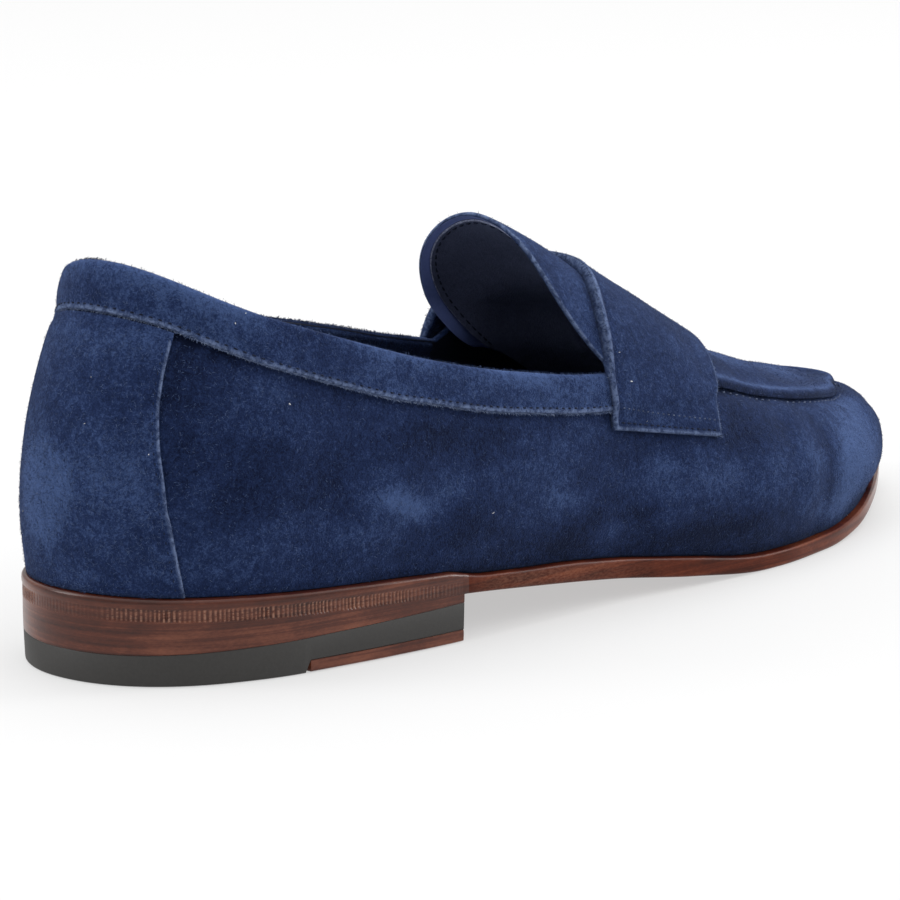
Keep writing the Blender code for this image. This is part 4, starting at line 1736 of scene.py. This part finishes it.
def make_stitches():
    edge = float(place(COLLAR_FRONT - 2))
    t = np.linspace(-edge, edge, 700)
    low = v_collar(t)
    tall = np.linalg.norm(form(t, v_top(t)) - form(t, low), axis=-1)
    row = low + (v_top(t) - low) * COLLAR_STITCH_INSET / tall
    path, normal = on_face(t, row, COLLAR_STITCH_HEIGHT + waist(t, form(t, row)[:, 2]))
    thread_row("collar_stitches", path, normal, navy_thread, "suede", *COLLAR_STITCH)
    for name, side in (("outer", 1), ("inner", -1)):
        across = side * (1 - 2 * COUNTER_STITCH_INSET / COUNTER_WIDTH)
        t, v = counter_places(across, np.linspace(0.03, 0.97, 200))
        lift = COUNTER_STITCH_HEIGHT + waist(t, form(t, v)[:, 2], COUNTER_TUCK)
        path, normal = on_face(t, v, lift)
        label = "counter_stitches_" + name
        thread_row(label, path, normal, navy_thread, "suede", *COUNTER_STITCH)
    back = float(place(APRON_STITCH_BACK))
    t = np.linspace(back, 2 - back, 700)
    path, normal = on_face(t, v_ridge(t) - 0.022, np.full(len(t), APRON_STITCH_HEIGHT))
    thread_row("apron_stitches", path, normal, pale_thread, "suede", *APRON_STITCH)
    across = np.linspace(0.05, 0.95, 120)
    for name, end in (("outer", 1), ("inner", -1)):
        for row, inset, yarn, stitch in STRAP_STITCHES:
            along = np.full(across.shape, end * (1 - inset / STRAP_HALF))
            grid = strap_grid(along, across)
            nearby = strap_grid(along * 0.998, across)
            normal = unit(np.cross(nearby - grid, np.gradient(grid, axis=0)) * end)
            normal = normal * np.sign(normal[:, :1]) * end
            path = grid + normal * (strap_lift(grid) + STRAP_SKIN - 0.06)[:, None]
            label = "strap_stitches_" + name + "_" + row
            thread_row(label, path, normal, yarn, "suede", *stitch)
    share = np.linspace(-1, 0.9, 400)
    rim = tongue_grid(share, np.array([0.0, 0.02]), LINING_INSET + 1.0)
    path = rim[:, 0]
    normal = unit(np.cross(np.gradient(path, axis=0), rim[:, 1] - rim[:, 0]))
    normal = normal * np.sign(normal[:, 2:] + 0.2)
    path = path + normal * (tucked(path) + under_vamp(path) - 0.1)[:, None]
    thread_row("tongue_stitches", path, -normal, navy_thread, "lining", *TONGUE_STITCH)


make_stitches()


# Nap fibres and lint

NAP_FIBRES = (
    ("upper_suede", 90000),
    ("heel_counter_suede", 16000),
    ("collar_band_suede", 26000),
    ("strap_suede", 16000),
    ("apron_suede", 14000),
    ("tongue_suede", 8000),
)
# Length, rise as a share of the length, and width of the fibres
NAP_SIZES = ((0.35, 1.1), (0.1, 0.45), (0.05, 0.1))
ROLL_FUZZ_SIZES = ((0.2, 0.45), (0.5, 1.5), (0.08, 0.17))
SEAM_FUZZ_SIZES = ((0.2, 0.6), (0.3, 1.3), (0.05, 0.11))
STRAP_FUZZ_SIZES = ((0.2, 0.55), (0.3, 1.1), (0.04, 0.08))
LINT_SIZES = ((0.2, 0.6), (0.4, 0.9), (0.14, 0.26))
ROLL_FUZZ = 5200
SEAM_FUZZ = 5600
STRAP_FUZZ = 1500
LINT = (
    ("upper_suede", 46),
    ("heel_counter_suede", 8),
    ("collar_band_suede", 8),
    ("strap_suede", 5),
)
LINT_END = 235.0
FIBRE_CURL = 0.35
FIBRE_ROOT = 0.05
# Share of the length, rise and curl at a fibre's bend
KNEE_ALONG = 0.5
KNEE_RISE = 0.65
KNEE_CURL = 0.35
POINTS_PER_FIBRE = 5


def scattered(name, count, source, keep=None):
    """Random points of a piece's face with their normals."""
    points, faces = napped[name]
    corners = np.array([f if len(f) == 4 else list(f) + [f[2]] for f in faces])
    a, b, c, d = (points[corners[:, k]] for k in range(4))
    normals = np.cross(c - a, d - b)
    size = np.linalg.norm(normals, axis=1)
    pick = source.choice(len(corners), count, p=size / size.sum())
    u = source.random((count, 1))
    w = source.random((count, 1))
    near = a[pick] * (1 - u) + b[pick] * u
    far = d[pick] * (1 - u) + c[pick] * u
    spots = near * (1 - w) + far * w
    facing = normals[pick] / size[pick][:, None]
    if keep is None:
        return spots, facing
    kept = source.random(count) < keep(spots)
    return spots[kept], facing[kept]


def lay_fibres(name, spots, facing, source, material, long, stand, width):
    """Short bent fibres that rise from a face, each a narrow ribbon that ends in a point."""
    count = len(spots)
    turn = source.normal(size=(count, 3))
    lean = unit(turn - facing * (turn * facing).sum(1)[:, None])
    side = np.cross(facing, lean)
    length = source.uniform(long[0], long[1], (count, 1))
    rise = source.uniform(stand[0], stand[1], (count, 1)) * length
    curl = source.uniform(-FIBRE_CURL, FIBRE_CURL, (count, 1)) * length
    thick = side * (source.uniform(width[0], width[1], (count, 1)) / 2)
    root = spots - facing * FIBRE_ROOT
    knee = spots + lean * length * KNEE_ALONG + facing * rise * KNEE_RISE
    knee = knee + side * curl * KNEE_CURL
    tip = spots + lean * length + facing * rise + side * curl
    points = np.stack([root - thick, root + thick, knee + thick, knee - thick, tip], 1)
    first = np.arange(count)[:, None] * POINTS_PER_FIBRE
    faces = (first + np.array([[0, 1, 2, 3]])).tolist() + (first + np.array([[3, 2, 4]])).tolist()
    shade = np.repeat(source.random(count), POINTS_PER_FIBRE)
    return put(name, points.reshape(-1, 3), faces, [material], None, "suede", nap=shade)


def make_fibres():
    source = np.random.default_rng(7)
    fibre = fibre_finish("suede_fibre", (0.012, 0.023, 0.07, 1.0), (0.075, 0.11, 0.21, 1.0))

    def denser_in_light(spots):
        y = spots[:, 1]
        z = spots[:, 2]
        wave = np.sin(y * 0.43 + z * 0.21) * np.sin(z * 0.52 - y * 0.13)
        return np.clip(0.4 + 0.3 * wave + 0.7 * nap_light_and_shade(spots), 0.06, 1)

    for name, count in NAP_FIBRES:
        spots, facing = scattered(name, count, source, denser_in_light)
        label = name.replace("_suede", "_nap_fibres")
        lay_fibres(label, spots, facing, source, fibre, *NAP_SIZES)


def edge_path(line, out, source, count):
    """Random places along the edge of a piece with the way out of it."""
    along = run_of(line)
    s = source.uniform(0, along[-1], count)
    return sampled(s, along, line), unit(sampled(s, along, out))


def make_fuzz():
    """Fibres that stand out along the collar's rolled top and along the cut edges."""
    source = np.random.default_rng(31)
    fuzz = fibre_finish("edge_fuzz", (0.03, 0.05, 0.12, 1.0), (0.24, 0.3, 0.44, 1.0))
    edge = float(place(COLLAR_FRONT))
    t = np.linspace(-edge, edge, 500)
    top = v_top(t)
    up = way_up(t, top)
    line = form(t, top) + face_normal(t, top) * -0.6
    spots, ways = edge_path(line, up, source, ROLL_FUZZ)
    spots = spots + source.normal(0, 0.5, spots.shape) * np.array([1, 1, 0])
    share = np.where(spots[:, 0] > 0, np.clip((spots[:, 1] - 40) / 50, 0.08, 0.7), 1.0)
    kept = source.random(len(spots)) < share
    shag = fibre_finish("collar_fuzz", (0.006, 0.012, 0.036, 1.0), (0.05, 0.075, 0.15, 1.0))
    lay_fibres("collar_top_fuzz", spots[kept], ways[kept], source, shag, *ROLL_FUZZ_SIZES)
    low = v_collar(t)
    lip = form(t, low)
    normal = face_normal(t, low)
    line = lip + normal * (0.9 + waist(t, lip[:, 2]))[:, None]
    spots, ways = edge_path(line, normal - 0.6 * up, source, SEAM_FUZZ)
    lay_fibres("collar_seam_fuzz", spots, ways, source, fuzz, *SEAM_FUZZ_SIZES)
    whole = np.linspace(-1, 1, 200)
    end = np.linspace(0, 1, 80)
    for label, along, across in (
        ("back", whole, np.zeros(200)),
        ("front", whole, np.ones(200)),
        ("outer_end", np.ones(80), end),
        ("inner_end", -np.ones(80), end),
    ):
        line = strap_grid(along, across)
        out = line - strap_grid(along * 0.97, 0.5 + (across - 0.5) * 0.9)
        face = unit(np.cross(np.gradient(line, axis=0), out))
        face = face * np.sign(face[:, 2:] + 0.3)
        line = line + face * (strap_lift(line) + STRAP_SKIN - 0.3)[:, None]
        spots, ways = edge_path(line, out, source, STRAP_FUZZ)
        lay_fibres("strap_fuzz_" + label, spots, ways, source, fuzz, *STRAP_FUZZ_SIZES)


def make_lint():
    source = np.random.default_rng(19)
    lint = thread("lint", (0.45, 0.47, 0.5, 1), (0.75, 0.76, 0.78, 1))
    spots = []
    facing = []
    for name, count in LINT:
        some, ways = scattered(name, count, source)
        behind = some[:, 1] < LINT_END
        spots.append(some[behind])
        facing.append(ways[behind])
    spots = np.concatenate(spots)
    facing = np.concatenate(facing)
    lay_fibres("lint_specks", spots, facing, source, lint, *LINT_SIZES)


make_fibres()
make_fuzz()
make_lint()


# Floor, light and camera

FLOOR_HEIGHT = -0.0002
FLOOR_HALF = 8
FLOOR_COLOUR = (0.29, 0.29, 0.29, 1)
FLOOR_GLOW = 0.51
SKY_LOW = (0.42, 0.42, 0.42, 1.0)
SKY_HIGH = (1.4, 1.4, 1.4, 1.0)
# Name, place, aim, size and power of the lamps
LAMPS = (
    ("back", (-1.0, -1.1, 0.7), (0, -0.1, 0.04), (0.5, 0.9), 7),
    ("side", (1.0, 1.4, 0.7), (0, 0.08, 0.03), (0.5, 1.0), 13),
    ("top", (-0.2, 0.3, 1.8), (0, 0, 0.03), (1.4, 1.4), 14),
)
AZIMUTH = math.radians(40.66)
ELEVATION = math.radians(11.44)
DISTANCE = 1200.2
AIM = (-17.29, 145.0, 24.68)
PICTURE_PIXELS = 900.0
PIXELS_PER_MM = 4.3
SENSOR = 36.0


def make_floor():
    corners = ((-1, -1), (1, -1), (1, 1), (-1, 1))
    points = [(FLOOR_HALF * x, FLOOR_HALF * y, FLOOR_HEIGHT) for x, y in corners]
    mesh = bpy.data.meshes.new("floor")
    mesh.from_pydata(points, [], [(0, 1, 2, 3)])
    material, tree, shader = new_material("pale_floor")
    settle(shader, Base_Color=FLOOR_COLOUR, Roughness=0.9, Specular_IOR_Level=0.0)
    settle(shader, Emission_Color=(1, 1, 1, 1), Emission_Strength=FLOOR_GLOW)
    mesh.materials.append(material)
    floor = bpy.data.objects.new("floor", mesh)
    bpy.context.scene.collection.objects.link(floor)


def soft_light(name, place_at, aim, size, power):
    lamp = bpy.data.lights.new(name, "AREA")
    lamp.shape = "RECTANGLE"
    lamp.size, lamp.size_y = size
    lamp.energy = power
    light = bpy.data.objects.new(name, lamp)
    light.location = place_at
    light.rotation_mode = "QUATERNION"
    light.rotation_quaternion = (Vector(aim) - Vector(place_at)).to_track_quat("-Z", "Y")
    bpy.context.scene.collection.objects.link(light)


def make_light():
    world = bpy.data.worlds.new("studio")
    world.use_nodes = True
    tree = world.node_tree
    way = tree.nodes.new("ShaderNodeSeparateXYZ")
    tree.links.new(tree.nodes.new("ShaderNodeTexCoord").outputs["Generated"], way.inputs[0])
    sky = blend(tree, spread(tree, way.outputs["Z"], 0.05, 0.75), SKY_LOW, SKY_HIGH)
    tree.links.new(sky, tree.nodes["Background"].inputs["Color"])
    bpy.context.scene.world = world
    for lamp in LAMPS:
        soft_light(*lamp)


def make_camera():
    level = math.cos(ELEVATION)
    back = (math.sin(AZIMUTH) * level, -math.cos(AZIMUTH) * level, math.sin(ELEVATION))
    back = Vector(back)
    lens = bpy.data.cameras.new("camera")
    lens.sensor_width = SENSOR
    lens.lens = PIXELS_PER_MM * DISTANCE * SENSOR / PICTURE_PIXELS
    lens.clip_end = 50.0
    camera = bpy.data.objects.new("camera", lens)
    camera.location = Vector(row_frame(AIM).tolist()) + back * DISTANCE * MM
    camera.rotation_mode = "QUATERNION"
    camera.rotation_quaternion = (-back).to_track_quat("-Z", "Y")
    bpy.context.scene.collection.objects.link(camera)
    bpy.context.scene.camera = camera


make_floor()
make_light()
make_camera()
bpy.context.scene.view_settings.view_transform = "Standard"
